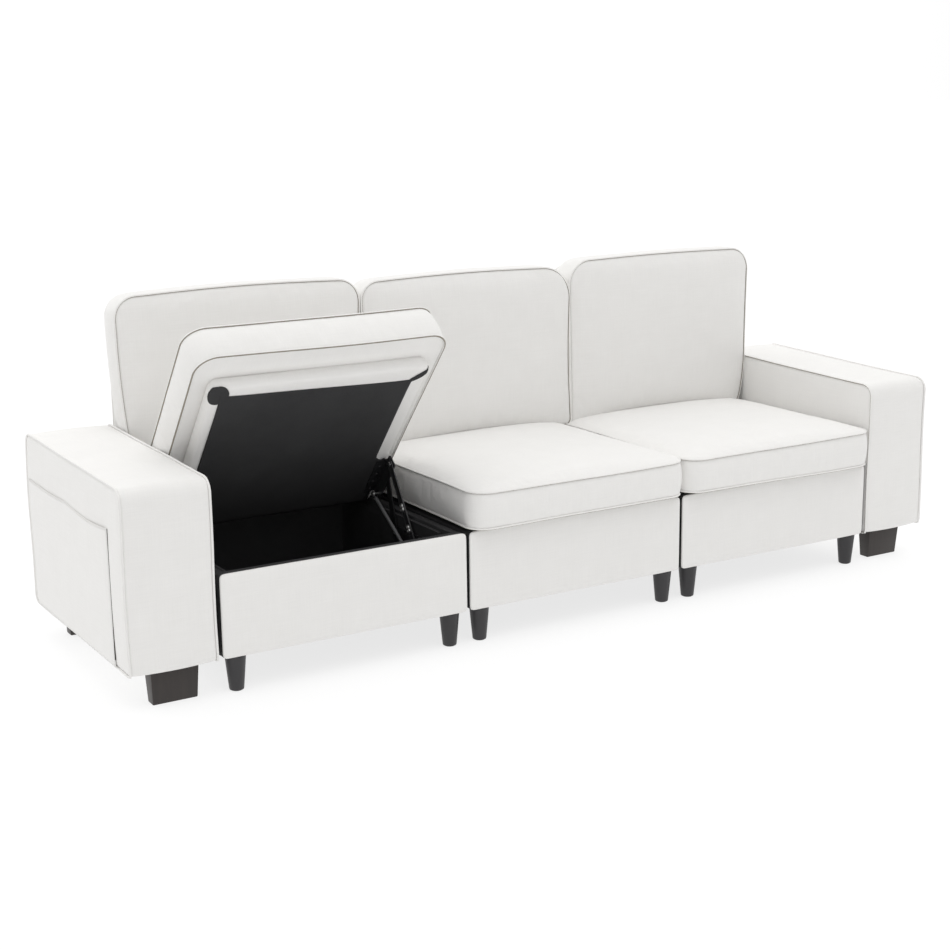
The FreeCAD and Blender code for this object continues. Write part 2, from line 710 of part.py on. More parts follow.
def make_arm(name, sign):
    """One arm unit: cover, wooden frame, pocket on its outer side and two block legs."""
    inner, outer = of("arm_reach"), of("arm_reach") + of("arm_width")
    line, low, high = of("front_line"), of("arm_leg_height"), of("arm_top")
    depth, pad = of("arm_depth"), of("arm_pad")
    x = mirrored(sign, inner)
    side = loop([(Vector(x, line, low), 0), (Vector(x, line + depth, low), 0), (Vector(x, line + depth, high), 0),
                 (Vector(x, line, high), of("arm_front_round"))])
    block_form = slab(side, Vector(mirrored(sign, of("arm_width")), 0, 0))
    edges = [e for e in block_form.Edges if e.BoundBox.ZMax > low + SLACK and e.BoundBox.XLength < SLACK]
    cover = doc.addObject("Part::Feature", f"{name}_arm_form")
    cover.Shape = block_form.makeFillet(of("arm_edge_round"), edges)
    start = "arm_reach + arm_pad" if sign > 0 else "-arm_reach - arm_width + arm_pad"
    width = "arm_width - 2 * arm_pad"
    hollow = block(f"{name}_arm_hollow", (start, "front_line + arm_pad", "arm_leg_height - cut_over"),
                   (width, "arm_depth - 2 * arm_pad", "arm_cavity_height + cut_over"))
    node(f"{name}_arm_cover", [cut(f"{name}_arm_shell", cover, hollow)])
    outside = block(f"{name}_frame_out", (start, "front_line + arm_pad", "arm_leg_height"),
                    (width, "arm_depth - 2 * arm_pad", "arm_cavity_height"))
    inside = block(f"{name}_frame_in", (f"{start} + arm_frame_wall", "front_line + arm_pad + arm_frame_wall",
                                        "arm_leg_height + arm_frame_wall"),
                   (f"{width} - 2 * arm_frame_wall", "arm_depth - 2 * arm_pad - 2 * arm_frame_wall",
                    "arm_cavity_height - 2 * arm_frame_wall"))
    node(f"{name}_arm_frame", [cut(f"{name}_frame_shell", outside, inside)])
    make_block_legs(name, sign)
    make_pocket(name, sign, outer)


def make_block_legs(name, sign):
    """Two tapered block legs under an arm."""
    legs = []
    centre = (f"{sign} * (arm_reach + block_inset_side + block_foot_width / 2"
              " - (block_top_width - block_foot_width) / 2)")
    for end in (0, 1):
        wedge = doc.addObject("Part::Wedge", f"{name}_block_{end}")
        foot = "block_inset_end + block_foot_depth / 2"
        along = f"front_line + {foot} + {end} * (arm_depth - 2 * ({foot}))"
        sizes = {
            "Xmin": "-block_foot_width / 2", "Xmax": "block_foot_width / 2",
            "X2min": "-block_top_width / 2", "X2max": "block_top_width / 2",
            "Zmin": "-block_foot_depth / 2", "Zmax": "block_foot_depth / 2",
            "Z2min": "-block_top_depth / 2", "Z2max": "block_top_depth / 2",
            "Ymax": "arm_leg_height",
        }
        wedge.Ymin = 0
        for field, text in sizes.items():
            wedge.setExpression(field, ref(text))
        wedge.Placement = Placement(Vector(), Rotation(Vector(1, 0, 0), 90))
        wedge.setExpression("Placement.Base.x", ref(centre))
        wedge.setExpression("Placement.Base.y", ref(along))
        legs.append(wedge)
    node(f"{name}_block_legs", legs)


def make_pocket(name, sign, outer):
    """Open-topped fabric pocket: an outer sheet with a sagging hem, held off the arm by its edges."""
    line, low = of("front_line"), of("arm_leg_height")
    near, far = line + of("pocket_inset_front"), line + of("arm_depth") - of("pocket_inset_rear")
    high, hem, gap = low + of("pocket_height"), of("pocket_hem"), of("pocket_depth")
    middle = (near + far) / 2

    def sheet_form(start, thick, bottom, from_y, to_y, sagging):
        ends = (Vector(start, to_y, high), Vector(start, middle, high), Vector(start, from_y, high))
        top = []
        if sagging:
            for a, b, sag in ((ends[0], ends[1], of("pocket_sag_rear")),
                              (ends[1], ends[2], of("pocket_sag_front"))):
                top.append(Part.Arc(a, (a + b) * 0.5 - Vector(0, 0, sag), b).toShape())
        else:
            top.append(Part.LineSegment(ends[0], ends[2]).toShape())
        corners = (ends[2], Vector(start, from_y, bottom), Vector(start, to_y, bottom), ends[0])
        rest = [Part.LineSegment(corners[n], corners[n + 1]).toShape() for n in range(3)]
        return slab(Part.Wire(top + rest), Vector(thick, 0, 0))

    face = mirrored(sign, outer)
    whole = sheet_form(face, mirrored(sign, gap + of("pocket_wall")), low, near, far, True)
    space = Part.makeBox(gap, far - near - 2 * hem, of("pocket_height"),
                         Vector(min(face, face + mirrored(sign, gap)), near + hem, low + hem))
    node(f"{name}_arm_pocket", [solid(f"{name}_pocket_form", whole.cut(space))])


for name, sign in (("left", -1), ("right", 1)):
    make_arm(name, sign)


# Joints between the units

GAPS = (
    ("-arm_reach", "arm_gap"),
    ("row_start + module_width", "module_gap"),
    ("row_start + pitch + module_width", "module_gap"),
    ("row_start + row_length", "arm_gap"),
)


def make_connectors():
    """Headed studs on one unit and the keeper plates on the next that hold them, two in each gap."""
    studs, keepers = [], []
    for n, (start, gap) in enumerate(GAPS):
        for end in (0, 1):
            tag = f"connector_{n}{end}"
            y = f"front_line + connector_end_inset + {end} * (box_depth - 2 * connector_end_inset)"
            z = "leg_height + connector_above_box_bottom"
            head = f"{start} + {gap} - layer_gap - stud_head_thick"
            plate = f"{head} - layer_gap - keeper_thick"
            studs.append(fused(f"{tag}_stud", [
                pin(f"{tag}_shank", (start, y, z), "stud_radius", f"{gap} - layer_gap - stud_head_thick"),
                pin(f"{tag}_head", (head, y, z), "stud_head_radius", "stud_head_thick"),
            ]))
            sheet_form = block(f"{tag}_sheet", (plate, f"{y} - keeper_width / 2", f"{z} - keeper_height / 2"),
                               ("keeper_thick", "keeper_width", "keeper_height"))
            reach = "2 * layer_gap + stud_head_thick"
            feet = [block(f"{tag}_foot_{k}", (f"{plate} + keeper_thick", f"{y} - keeper_width / 2",
                                              f"{z} - keeper_height / 2 + {k} * (keeper_height - keeper_foot)"),
                          (reach, "keeper_width", "keeper_foot")) for k in (0, 1)]
            hole = pin(f"{tag}_hole", (f"{plate} - cut_over", y, z), "keeper_hole_radius",
                       "keeper_thick + 2 * cut_over")
            keepers.append(cut(f"{tag}_keeper", fused(f"{tag}_folded", [sheet_form, *feet]), hole))
    node("connector_studs", studs)
    node("connector_keepers", keepers)


def make_back_brackets():
    """Angle brackets that stand on the rear walls and hold the back frames."""
    brackets = []
    for index, seat in enumerate(SEATS):
        for end in (0, 1):
            tag = f"{seat}_bracket_{end}"
            x = f"{start_of(index)} + bracket_inset + {end} * (module_width - 2 * bracket_inset - bracket_width)"
            top = "box_top - rear_drop"
            brackets.append(fused(tag, [
                block(f"{tag}_upright", (x, "front_line + box_depth - bracket_thick", top),
                      ("bracket_width", "bracket_thick", "bracket_height")),
                block(f"{tag}_foot", (x, "front_line + box_depth - rear_thick", top),
                      ("bracket_width", "rear_thick", "bracket_thick")),
            ]))
    node("back_brackets", brackets)


make_connectors()
make_back_brackets()


# Recompute, test and write the nodes

doc.recompute()
broken = [o.Label for o in doc.Objects if "Invalid" in o.State or "Error" in o.State]
if broken:
    raise RuntimeError("not computed: " + ", ".join(broken))
os.makedirs("parts", exist_ok=True)
for group in NODES:
    shape = group.Shape
    if shape.isNull() or not shape.isValid() or not shape.Solids:
        raise RuntimeError(group.Label + " has no valid solid")
    shape.exportStep(f"parts/{group.Label}.step")
    box = shape.BoundBox
    print(f"{group.Label:24s} {len(shape.Solids):3d} solids {shape.Volume / 1e3:10.1f} cm3",
          f"x {box.XMin:8.1f} {box.XMax:8.1f}  y {box.YMin:7.1f} {box.YMax:7.1f}  z {box.ZMin:6.1f} {box.ZMax:6.1f}")

print("nodes", len(NODES))
for name, point in (("bar foot", BAR_FOOT), ("bar tip", BAR_TIP), ("arm foot", ARM_FOOT), ("arm tip", ARM_TIP),
                    ("spring foot", SPRING_FOOT), ("spring tip", SPRING_TIP),
                    ("bar tip open", BAR_OPEN.multVec(BAR_TIP))):
    print(f"{name:12s} y {point.y:9.4f} z {point.z:9.4f}")
print(f"swings: bar {of('bar_swing_angle')}, lid {of('lid_swing_angle')}, second arm {ARM_SWING:.6f}, "
      f"spring {SPRING_SWING:.6f}")
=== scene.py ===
import json
import math
from collections import namedtuple

import bmesh
import bpy
import numpy as np
from bpy.props import FloatProperty, FloatVectorProperty, IntProperty, PointerProperty
from mathutils import Matrix, Vector


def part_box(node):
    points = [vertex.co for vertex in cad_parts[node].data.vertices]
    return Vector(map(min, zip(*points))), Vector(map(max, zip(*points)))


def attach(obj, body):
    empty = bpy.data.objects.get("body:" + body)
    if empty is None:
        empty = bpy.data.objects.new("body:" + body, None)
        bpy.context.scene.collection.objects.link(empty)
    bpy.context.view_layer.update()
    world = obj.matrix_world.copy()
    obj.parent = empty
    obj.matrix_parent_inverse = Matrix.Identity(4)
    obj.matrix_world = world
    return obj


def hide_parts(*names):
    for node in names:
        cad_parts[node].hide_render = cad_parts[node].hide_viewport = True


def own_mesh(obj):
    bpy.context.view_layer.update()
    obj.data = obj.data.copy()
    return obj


bl_info = {
    "name": "Modular storage sofa",
    "version": (1, 0, 0),
    "blender": (4, 5, 0),
    "location": "View3D > Sidebar > Sofa",
    "description": "Covers, cushions, lining, lift hardware and legs of a three-seat modular sofa",
    "category": "Object",
}

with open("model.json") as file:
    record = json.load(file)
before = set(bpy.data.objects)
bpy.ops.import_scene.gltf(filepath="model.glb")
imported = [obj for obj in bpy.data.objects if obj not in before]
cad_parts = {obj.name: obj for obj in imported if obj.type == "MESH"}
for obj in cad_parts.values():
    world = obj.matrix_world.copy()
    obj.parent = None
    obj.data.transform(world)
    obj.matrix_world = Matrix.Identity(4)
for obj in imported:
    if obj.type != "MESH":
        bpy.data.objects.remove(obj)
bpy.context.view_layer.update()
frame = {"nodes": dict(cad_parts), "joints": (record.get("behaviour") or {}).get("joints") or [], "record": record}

SEATS = ("left", "middle", "right")
ARMS = {"left": -1, "right": 1}
JOINTS = {joint["name"]: joint for joint in frame["joints"]}
MM = 0.001
ACROSS, ALONG, UP = Vector((1, 0, 0)), Vector((0, 1, 0)), Vector((0, 0, 1))


# Sizes and colours that a user may change

def number(name, default, description, **limits):
    """Plain number."""
    return FloatProperty(name=name, default=default, description=description, **limits)


def length(name, default, description):
    """Length in metres."""
    return number(name, default, description, unit="LENGTH", precision=4)


def share(name, default, description):
    """Number from 0 to 1."""
    return number(name, default, description, min=0, max=1, subtype="FACTOR", precision=3)


def colour(name, default, description):
    """Linear colour."""
    return FloatVectorProperty(name=name, default=default, description=description, subtype="COLOR", size=3)


class SofaCloth(bpy.types.PropertyGroup):
    """Cover fabric, black lining, and the painted shade of the seams' grooves."""
    ivory: colour("Ivory", (0.895, 0.886, 0.868), "Cover fabric where the yarn is full")
    shadow: colour("Yarn shadow", (0.755, 0.743, 0.722), "Cover fabric between its yarns")
    # Painted shade: a dark cloth colour for the piping's faces where the groove beside a seam lies in shadow.
    crease_shade: colour("Crease", (0.30, 0.275, 0.235), "Cover fabric deep in a seam, beside the piping")
    pitch: length("Yarn pitch", 0.0011, "Distance from one yarn to the next")
    lining: colour("Lining", (0.036, 0.036, 0.037), "Black non-woven lining")
    emboss: length("Emboss pitch", 0.0022, "Distance between the lining's pressed dots")


class SofaCushion(bpy.types.PropertyGroup):
    """Seat and back cushions."""
    cell: length("Cell", 0.0095, "Side of a cushion's mesh cell")
    piping: length("Piping radius", 0.003, "Radius of the covered cord along the seams")
    bulge: length("Boxing bulge", 0.007, "How far the boxing swells between its seams")
    sag: length("Seam wave", 0.0016, "How far a seam wanders from its straight line")
    droop: length("Droop", 0.009, "How far a seat cushion's lower seam hangs below the lid board")
    slack: share("Slack", 0.006, "How much longer the cloth is than the foam it covers")
    pressure: number("Pressure", 3.5, "Pressure that rounds the cover out", min=0)
    limit: length("Largest move", 0.0045, "How far the simulation may move a point of the cover")
    pucker: length("Pucker", 0.00035, "Depth of the small puckers beside a seam")


class SofaBuild(bpy.types.PropertyGroup):
    """Padding of flat panels, and loose cloth."""
    puff: length("Puff", 0.0035, "How far the padding of a flat panel swells")
    cloth: length("Cloth", 0.0012, "Thickness of a sheet of cloth")
    hem: length("Hem radius", 0.001, "Radius of the pocket's piped hem")


class SofaMetal(bpy.types.PropertyGroup):
    """Lift hardware."""
    bar_half: length("Half bar width", 0.012, "Half of the width of the flat bars")
    bar_thick: length("Bar thickness", 0.004, "Thickness of the flat bars")
    rim: length("Rim", 0.003, "Width of a bar's raised rim")
    head: length("Head radius", 0.007, "Radius of a rivet's head")
    head_high: length("Head height", 0.0025, "Height of a rivet's head")
    wire: length("Wire radius", 0.002, "Radius of a spring's end wire")
    sleeve: length("Sleeve radius", 0.0055, "Radius of the sleeve round a spring")


class SofaStage(bpy.types.PropertyGroup):
    """Camera, floor and lights."""
    focal: number("Focal length", 1687.24, "In pixels of a picture as wide as Picture says")
    azimuth: number("Azimuth", -30.99, "Degrees, 0 looks along +Y")
    elevation: number("Elevation", 13.36, "Degrees above the horizon")
    roll: number("Roll", -0.69, "Degrees")
    distance: length("Distance", 4.45628, "From the camera to its target")
    target: FloatVectorProperty(name="Target", default=(-0.33479, -0.356, 0.46768), size=3, unit="LENGTH",
                                subtype="TRANSLATION", description="Point on the camera's axis")
    room: number("Room", 0.5, "Strength of the world's light from the camera's side")
    backdrop: number("Backdrop", 0.72, "What the backdrop adds to it")
    ceiling: number("Ceiling", 0.7, "What the ceiling adds to it")
    key: number("Key", 0.5, "Strength of the sun lamp")
    picture: IntProperty(name="Picture", default=950, description="Width and height in pixels")


GROUPS = {"sofa_cloth": SofaCloth, "sofa_cushion": SofaCushion, "sofa_build": SofaBuild,
          "sofa_metal": SofaMetal, "sofa_stage": SofaStage}


# Shader arithmetic

class Value:
    """Output of a shader node. Arithmetic on it adds Math nodes."""

    def __init__(self, surface, socket):
        self.surface, self.socket = surface, socket

    def combine(self, operation, *terms):
        """Value that a Math node makes of the terms."""
        return self.surface.node("Math", {"operation": operation}, dict(enumerate(terms)))

    def __add__(self, other):
        return self.combine("ADD", self, other)

    def __sub__(self, other):
        return self.combine("SUBTRACT", self, other)

    def __rsub__(self, other):
        return self.combine("SUBTRACT", other, self)

    def __mul__(self, other):
        return self.combine("MULTIPLY", self, other)

    def __gt__(self, other):
        return self.combine("GREATER_THAN", self, other)

    def sine(self):
        return self.combine("SINE", self)

    def size(self):
        return self.combine("ABSOLUTE", self)

    __radd__, __rmul__ = __add__, __mul__


class Surface:
    """Material with a Principled shader, whose nodes all come from one method."""

    def __init__(self, name, **constants):
        self.material = bpy.data.materials.new(name)
        self.material.use_nodes = True
        self.tree = self.material.node_tree
        self.tree.nodes.clear()
        self.shader = self.tree.nodes.new("ShaderNodeBsdfPrincipled")
        output = self.tree.nodes.new("ShaderNodeOutputMaterial")
        self.tree.links.new(self.shader.outputs["BSDF"], output.inputs["Surface"])
        for socket, value in constants.items():
            self.shader.inputs[socket.replace("_", " ")].default_value = value

    def node(self, kind, settings, values, output=0):
        """Adds a node: its settings first, then the values or links of its sockets."""
        made = self.tree.nodes.new("ShaderNode" + kind)
        for name, setting in settings.items():
            setattr(made, name, setting)
        for socket, value in values.items():
            self.feed(made.inputs[socket], value)
        return Value(self, made.outputs[output])

    def feed(self, socket, value):
        """Links a value to a socket, or sets a constant on it."""
        if isinstance(value, Value):
            self.tree.links.new(value.socket, socket)
        else:
            socket.default_value = value

    def place(self, output, scale=(1, 1, 1)):
        """Texture coordinate times a scale along each axis."""
        spot = self.node("TexCoord", {}, {}, output)
        return self.node("Mapping", {}, {"Vector": spot, "Scale": scale})

    def noise(self, scale, detail=2.0, rough=0.5, output="Object"):
        """Noise over a texture coordinate. scale is one number, or one for each axis."""
        axes_scale, fine = (scale, 1.0) if isinstance(scale, tuple) else ((1, 1, 1), scale)
        spot = self.place(output, axes_scale)
        values = {"Vector": spot, "Scale": fine, "Detail": detail, "Roughness": rough}
        return self.node("TexNoise", {}, values, "Fac")

    def parts(self, output="Object"):
        """The three coordinates of a texture coordinate."""
        split = self.node("SeparateXYZ", {}, {"Vector": self.place(output)})
        return [Value(self, split.socket.node.outputs[n]) for n in range(3)]

    def mix(self, factor, dark, light):
        """Colour between two, each given as red, green and blue."""
        return self.node("Mix", {"data_type": "RGBA"}, {0: factor, 6: (*dark, 1.0), 7: (*light, 1.0)}, 2)

    def finish(self, tint=None, rough=None, height=None, depth=MM, strength=1.0):
        """Feeds the colour, the roughness and a bump of the given depth in metres."""
        if tint:
            self.feed(self.shader.inputs["Base Color"], tint)
        if rough:
            self.feed(self.shader.inputs["Roughness"], rough)
        if height:
            bump = self.node("Bump", {}, {"Height": height, "Distance": depth, "Strength": strength})
            self.feed(self.shader.inputs["Normal"], bump)
        return self.material


class Sky(Surface):
    """World of soft light: a white backdrop behind the sofa, a bright ceiling, and less light from the
    camera's side. The strength rises with the part of the direction that points back, and with the square
    of the part that points up."""

    def __init__(self, name):
        stage = bpy.context.scene.sofa_stage
        self.world = bpy.data.worlds.new(name)
        self.world.use_nodes = True
        self.tree = self.world.node_tree
        self.shader = self.tree.nodes["Background"]
        _, y, z = self.parts("Generated")
        behind, above = (y + y.size()) * 0.5, (z + z.size()) * 0.5
        strength = stage.room + behind * stage.backdrop + above * above * stage.ceiling
        self.feed(self.shader.inputs["Strength"], strength)
        self.shader.inputs["Color"].default_value = (1, 1, 1, 1)


def shade(colour, factor):
    """Darker or lighter colour."""
    return [c * factor for c in colour]


# Materials

MADE = {}


def finish_of(name):
    """Material by name, made once."""
    if name not in MADE:
        MADE[name] = FINISHES[name]()
    return MADE[name]


def cover_cloth():
    """Linen-look plain weave. Over the cloth's own map in metres the yarns are the sizes of two sines, one
    across the other, and a checker of their signs says which lies on top. Long thin noise gives the slubs."""
    cloth = bpy.context.scene.sofa_cloth
    made = Surface("cover_cloth", Sheen_Weight=0.25, Sheen_Roughness=0.5, Specular_IOR_Level=0.25)
    turns = math.pi / cloth.pitch
    u, v, _ = made.parts("UV")
    warp, weft = (u * turns).sine(), (v * turns).sine()
    over = (warp * weft) > 0
    yarn = over * warp.size() + (1 - over) * weft.size()
    warp_slub, weft_slub = (9, 420, 1), (420, 12, 1)
    slub = made.noise(warp_slub, 3.0, output="UV") + made.noise(weft_slub, 3.0, output="UV")
    cloudy = made.noise(14.0, 4.0, 0.6, "UV")
    yarn_part, slub_part, cloudy_part, least = 0.22, 0.34, 0.30, 0.14
    full = yarn * yarn_part + slub * slub_part + cloudy * cloudy_part + least
    tint = made.mix(full, cloth.shadow, cloth.ivory)
    roughest, gloss = 0.97, 0.12
    yarn_height, slub_height = 0.35, 0.9
    height = yarn * yarn_height + slub * slub_height
    return made.finish(tint, roughest - cloudy * gloss, height, depth=0.35 * MM, strength=0.5)


def painted_crease_shade(name="painted_crease_shade", tone=1.0):
    """Painted shade of a seam's groove on the piping: dark cloth, with the stitches' pull as noise along it."""
    crease_shade = shade(bpy.context.scene.sofa_cloth.crease_shade, tone)
    made = Surface(name, Specular_IOR_Level=0.1, Roughness=0.95)
    pull = made.noise(240.0, 3.0, output="UV")
    # Painted shade: the dark colour from 0.7 to 1.3 times, with the stitches' pull.
    return made.finish(made.mix(pull, shade(crease_shade, 0.7), shade(crease_shade, 1.3)), None, pull, 0.3 * MM, 0.5)


def painted_gap_shade():
    """Painted shade: near-black cloth colour that stands for the shadow in the gap under a loose edge."""
    return painted_crease_shade("painted_gap_shade", tone=0.15)


def lining_cloth():
    """Black non-woven: fibres from stretched noise, and a grid of small pressed dots."""
    cloth = bpy.context.scene.sofa_cloth
    made = Surface("lining_cloth", Specular_IOR_Level=0.08)
    turns = math.pi / cloth.emboss
    x, y, z = made.parts()
    dots = ((x * turns).sine() * ((y + z) * turns).sine()).size()
    fibre = made.noise((900, 300, 500), 3.0)
    cloudy = made.noise(9.0, 3.0)
    fibre_part, cloudy_part = 0.6, 0.4
    grey = fibre * fibre_part + cloudy * cloudy_part
    tint = made.mix(grey, shade(cloth.lining, 0.6), shade(cloth.lining, 1.9))
    smoothest, rougher = 0.72, 0.22
    fibre_height, dot_depth, cloudy_height = 0.5, 0.4, 1.5
    height = fibre * fibre_height - dots * dot_depth + cloudy * cloudy_height
    return made.finish(tint, smoothest + fibre * rougher, height, depth=0.3 * MM, strength=0.6)


def mottled(name, broad, dark, light, rough, rougher, depth, strength, fine=None, grit=0.0, **constants):
    """Finish from a broad noise that mixes two colours and roughens, and a fine one, or the same, for the
    bump. grit is what the fine noise adds to the roughness. A noise is given as Surface.noise takes it."""
    made = Surface(name, **constants)
    spots = made.noise(*broad)
    grain = made.noise(*fine) if fine else spots
    level = rough + spots * rougher
    if grit:
        level = level + grain * grit
    return made.finish(made.mix(spots, dark, light), level, grain, depth, strength)


def leg_plastic():
    """Satin dark grey plastic: fine grain over slow flow marks along the leg."""
    return mottled("leg_plastic", ((30, 30, 4), 3.0), (0.022, 0.021, 0.023), (0.040, 0.038, 0.040),
                   rough=0.36, rougher=0.12, depth=0.05 * MM, strength=0.4, fine=(2600.0, 2.0), grit=0.06,
                   Specular_IOR_Level=0.45)


def stained_wood():
    """Dark stained wood: rings of stretched noise along the grain, with fine pores."""
    made = Surface("stained_wood", Specular_IOR_Level=0.5)
    grain = made.noise((70, 70, 5), 5.0, 0.65)
    pores = made.noise((900, 900, 60), 2.0)
    tint = made.mix(grain, (0.012, 0.009, 0.008), (0.036, 0.027, 0.023))
    smoothest, rougher, grain_height, pore_height = 0.34, 0.16, 0.6, 0.4
    height = grain * grain_height + pores * pore_height
    return made.finish(tint, smoothest + pores * rougher, height, depth=0.12 * MM, strength=0.4)


def pine():
    """Sawn softwood: growth rings as sines bent by noise, and saw marks across."""
    made = Surface("pine", Specular_IOR_Level=0.3)
    bend = made.noise((6, 6, 6), 3.0)
    x, y, z = made.parts()
    ring_turns, slope_turns, bend_turns, saw_turns = 420, 60, 14, 1800
    rings = ((z * ring_turns + y * slope_turns + bend * bend_turns).sine() * 0.5) + 0.5
    ring_part, bend_part = 0.6, 0.4
    tint = made.mix(rings * ring_part + bend * bend_part, (0.55, 0.36, 0.19), (0.72, 0.54, 0.33))
    saw_height, smoothest, rougher = 0.3, 0.7, 0.1
    height = rings + (x * saw_turns).sine() * saw_height
    return made.finish(tint, smoothest + rings * rougher, height, depth=0.15 * MM, strength=0.5)


def coated_steel():
    """Black powder coat with a slight orange peel and rubbed lighter spots."""
    return mottled("coated_steel", (90.0, 4.0, 0.7), (0.010, 0.010, 0.011), (0.035, 0.035, 0.037),
                   rough=0.24, rougher=0.22, depth=0.04 * MM, strength=0.5, fine=(1500.0, 2.0),
                   Metallic=0.0, Specular_IOR_Level=0.6)


def dull_steel():
    """Bare black steel, oiled and dull, with faint scratches along it."""
    return mottled("dull_steel", ((400, 60, 60), 3.0), (0.008, 0.008, 0.009), (0.022, 0.022, 0.023),
                   rough=0.6, rougher=0.2, depth=0.04 * MM, strength=0.4, Specular_IOR_Level=0.15)


def bright_steel():
    """Zinc plated steel: turning marks and a faint mottled bloom."""
    return mottled("bright_steel", (260.0, 4.0, 0.6), (0.50, 0.50, 0.49), (0.78, 0.78, 0.77),
                   rough=0.2, rougher=0.2, depth=0.04 * MM, strength=0.3, Metallic=1.0)


def sleeve_grey():
    """Grey plastic sleeve over a spring, a little dusty."""
    return mottled("sleeve_grey", (300.0, 4.0, 0.6), (0.10, 0.10, 0.105), (0.17, 0.17, 0.175),
                   rough=0.35, rougher=0.2, depth=0.05 * MM, strength=0.4, Specular_IOR_Level=0.5)


def studio_floor():
    """Pale floor lit from under it, as a light table is, with a very slow change of tone."""
    made = Surface("studio_floor", Specular_IOR_Level=0.1, Roughness=0.9, Emission_Color=(1, 1, 1, 1),
                   Emission_Strength=0.77)
    return made.finish(made.mix(made.noise(0.4, 2.0), (0.22, 0.22, 0.22), (0.26, 0.26, 0.26)))


FINISHES = {finish.__name__: finish for finish in (
    cover_cloth, painted_crease_shade, painted_gap_shade, lining_cloth, leg_plastic, stained_wood, pine, coated_steel,
    dull_steel, bright_steel, sleeve_grey, studio_floor)}
SLOT_FINISH = {"cover_fabric": "cover_cloth", "black_lining": "lining_cloth", "lined_board": "lining_cloth",
               "wood": "pine", "leg_plastic": "leg_plastic", "dark_wood": "stained_wood",
               "black_steel": "coated_steel", "spring_steel": "sleeve_grey", "zinc_steel": "bright_steel"}


# Meshes

class Shell:
    """Grids of points gathered into one welded mesh, with a map in metres and a finish for each grid."""

    def __init__(self):
        self.points, self.faces, self.maps, self.marks, self.count = [], [], [], [], 0

    def grid(self, points, places, wrap=False, mark=0):
        """Adds a grid (rows, columns, 3) with its map (rows, columns, 2). wrap joins the last column to the
        first, and the map then has one column more than the points."""
        rows, columns = points.shape[:2]
        index = np.arange(rows * columns).reshape(rows, columns) + self.count
        spots = index
        if wrap:
            spots = np.concatenate([index, index[:, :1]], axis=1)
        corners = [spots[:-1, :-1], spots[:-1, 1:], spots[1:, 1:], spots[1:, :-1]]
        uv = [places[:-1, :-1], places[:-1, 1:], places[1:, 1:], places[1:, :-1]]
        self.faces.append(np.stack([c.ravel() for c in corners], axis=1))
        self.maps.append(np.stack([m.reshape(-1, 2) for m in uv], axis=1))
        self.marks.append(np.full(len(self.faces[-1]), mark))
        self.points.append(points.reshape(-1, 3))
        self.count += rows * columns
        return index

    def mesh(self, name):
        """Welded mesh whose faces point outwards."""
        faces = np.concatenate(self.faces)
        mesh = bpy.data.meshes.new(name)
        mesh.from_pydata(np.concatenate(self.points).tolist(), [], faces.tolist())
        mesh.uv_layers.new(name="cloth")
        mesh.uv_layers[0].data.foreach_set("uv", np.concatenate(self.maps).ravel())
        mesh.polygons.foreach_set("material_index", np.concatenate(self.marks).astype(np.int32))
        work = bmesh.new()
        work.from_mesh(mesh)
        bmesh.ops.remove_doubles(work, verts=work.verts, dist=0.01 * MM)
        bmesh.ops.recalc_face_normals(work, faces=work.faces)
        work.to_mesh(mesh)
        work.free()
        return mesh


def add_piece(name, mesh, finishes, body, stands_for=(), smooth=40):
    """Object for a mesh, with its finishes, that rides on a body and may stand for CAD nodes. Edges that
    bend by more than smooth, in degrees, stay sharp."""
    piece = bpy.data.objects.new(name, mesh)
    bpy.context.scene.collection.objects.link(piece)
    for finish in finishes:
        mesh.materials.append(finish_of(finish))
    mesh.shade_smooth()
    mesh.set_sharp_from_angle(angle=math.radians(smooth))
    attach(piece, body)
    if stands_for:
        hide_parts(*stands_for)
    return piece


def add_cover(name, form, matrix, body, node, smooth=180):
    """Cover cloth over a boxed form, laid into the row frame by a matrix, that stands for a CAD node."""
    mesh = form_mesh(name, form, matrix)
    return add_piece(name, mesh, ["cover_cloth"], body, [node], smooth)


def pad_out(piece):
    """Smooths a padded piece once."""
    smooth = piece.modifiers.new("smooth", "SUBSURF")
    smooth.levels = smooth.render_levels = 1


def lay_sheet(piece, thickness, flat):
    """Makes a piece a sheet of cloth: its thickness about the mesh. flat, its size when laid flat, is not used."""
    area = sum(face.area for face in piece.data.polygons)
    thick = piece.modifiers.new("thickness", "SOLIDIFY")
    thick.thickness = thickness
    thick.offset = 0
    area = min(area, flat[0] * flat[1])


def moved(points, matrix):
    """Points (..., 3) carried by a matrix."""
    m = np.array(matrix)
    return points @ m[:3, :3].T + m[:3, 3]


def plane_map(points, first, second):
    """Map in metres: the coordinates of the points along two axes."""
    return np.stack([points[..., first], points[..., second]], axis=-1)


def strip_map(points, wrap):
    """Map in metres of a strip: run along its rows, and run across them, both measured on the points."""
    closed = np.concatenate([points, points[:, :1]], axis=1) if wrap else points
    middle = closed[closed.shape[0] // 2]
    run = np.concatenate([[0], np.cumsum(np.linalg.norm(np.diff(middle, axis=0), axis=1))])
    step = np.linalg.norm(np.diff(closed, axis=0), axis=2).mean(axis=1)
    rise = np.concatenate([[0], np.cumsum(step)])
    return np.stack(np.broadcast_arrays(run[None, :], rise[:, None]), axis=-1)


def spread(line, count):
    """Line of points spaced evenly again by its run, in count steps."""
    run = np.concatenate([[0], np.cumsum(np.linalg.norm(np.diff(line, axis=0), axis=1))])
    at = np.linspace(0, run[-1], count + 1)
    return np.stack([np.interp(at, run, line[:, k]) for k in range(line.shape[1])], axis=1)


def arc(centre, radius, start, end, steps=12):
    """Points of an arc, angles in degrees."""
    angle = np.radians(np.linspace(start, end, steps + 1))
    return np.stack([centre[0] + radius * np.cos(angle), centre[1] + radius * np.sin(angle)], axis=1)


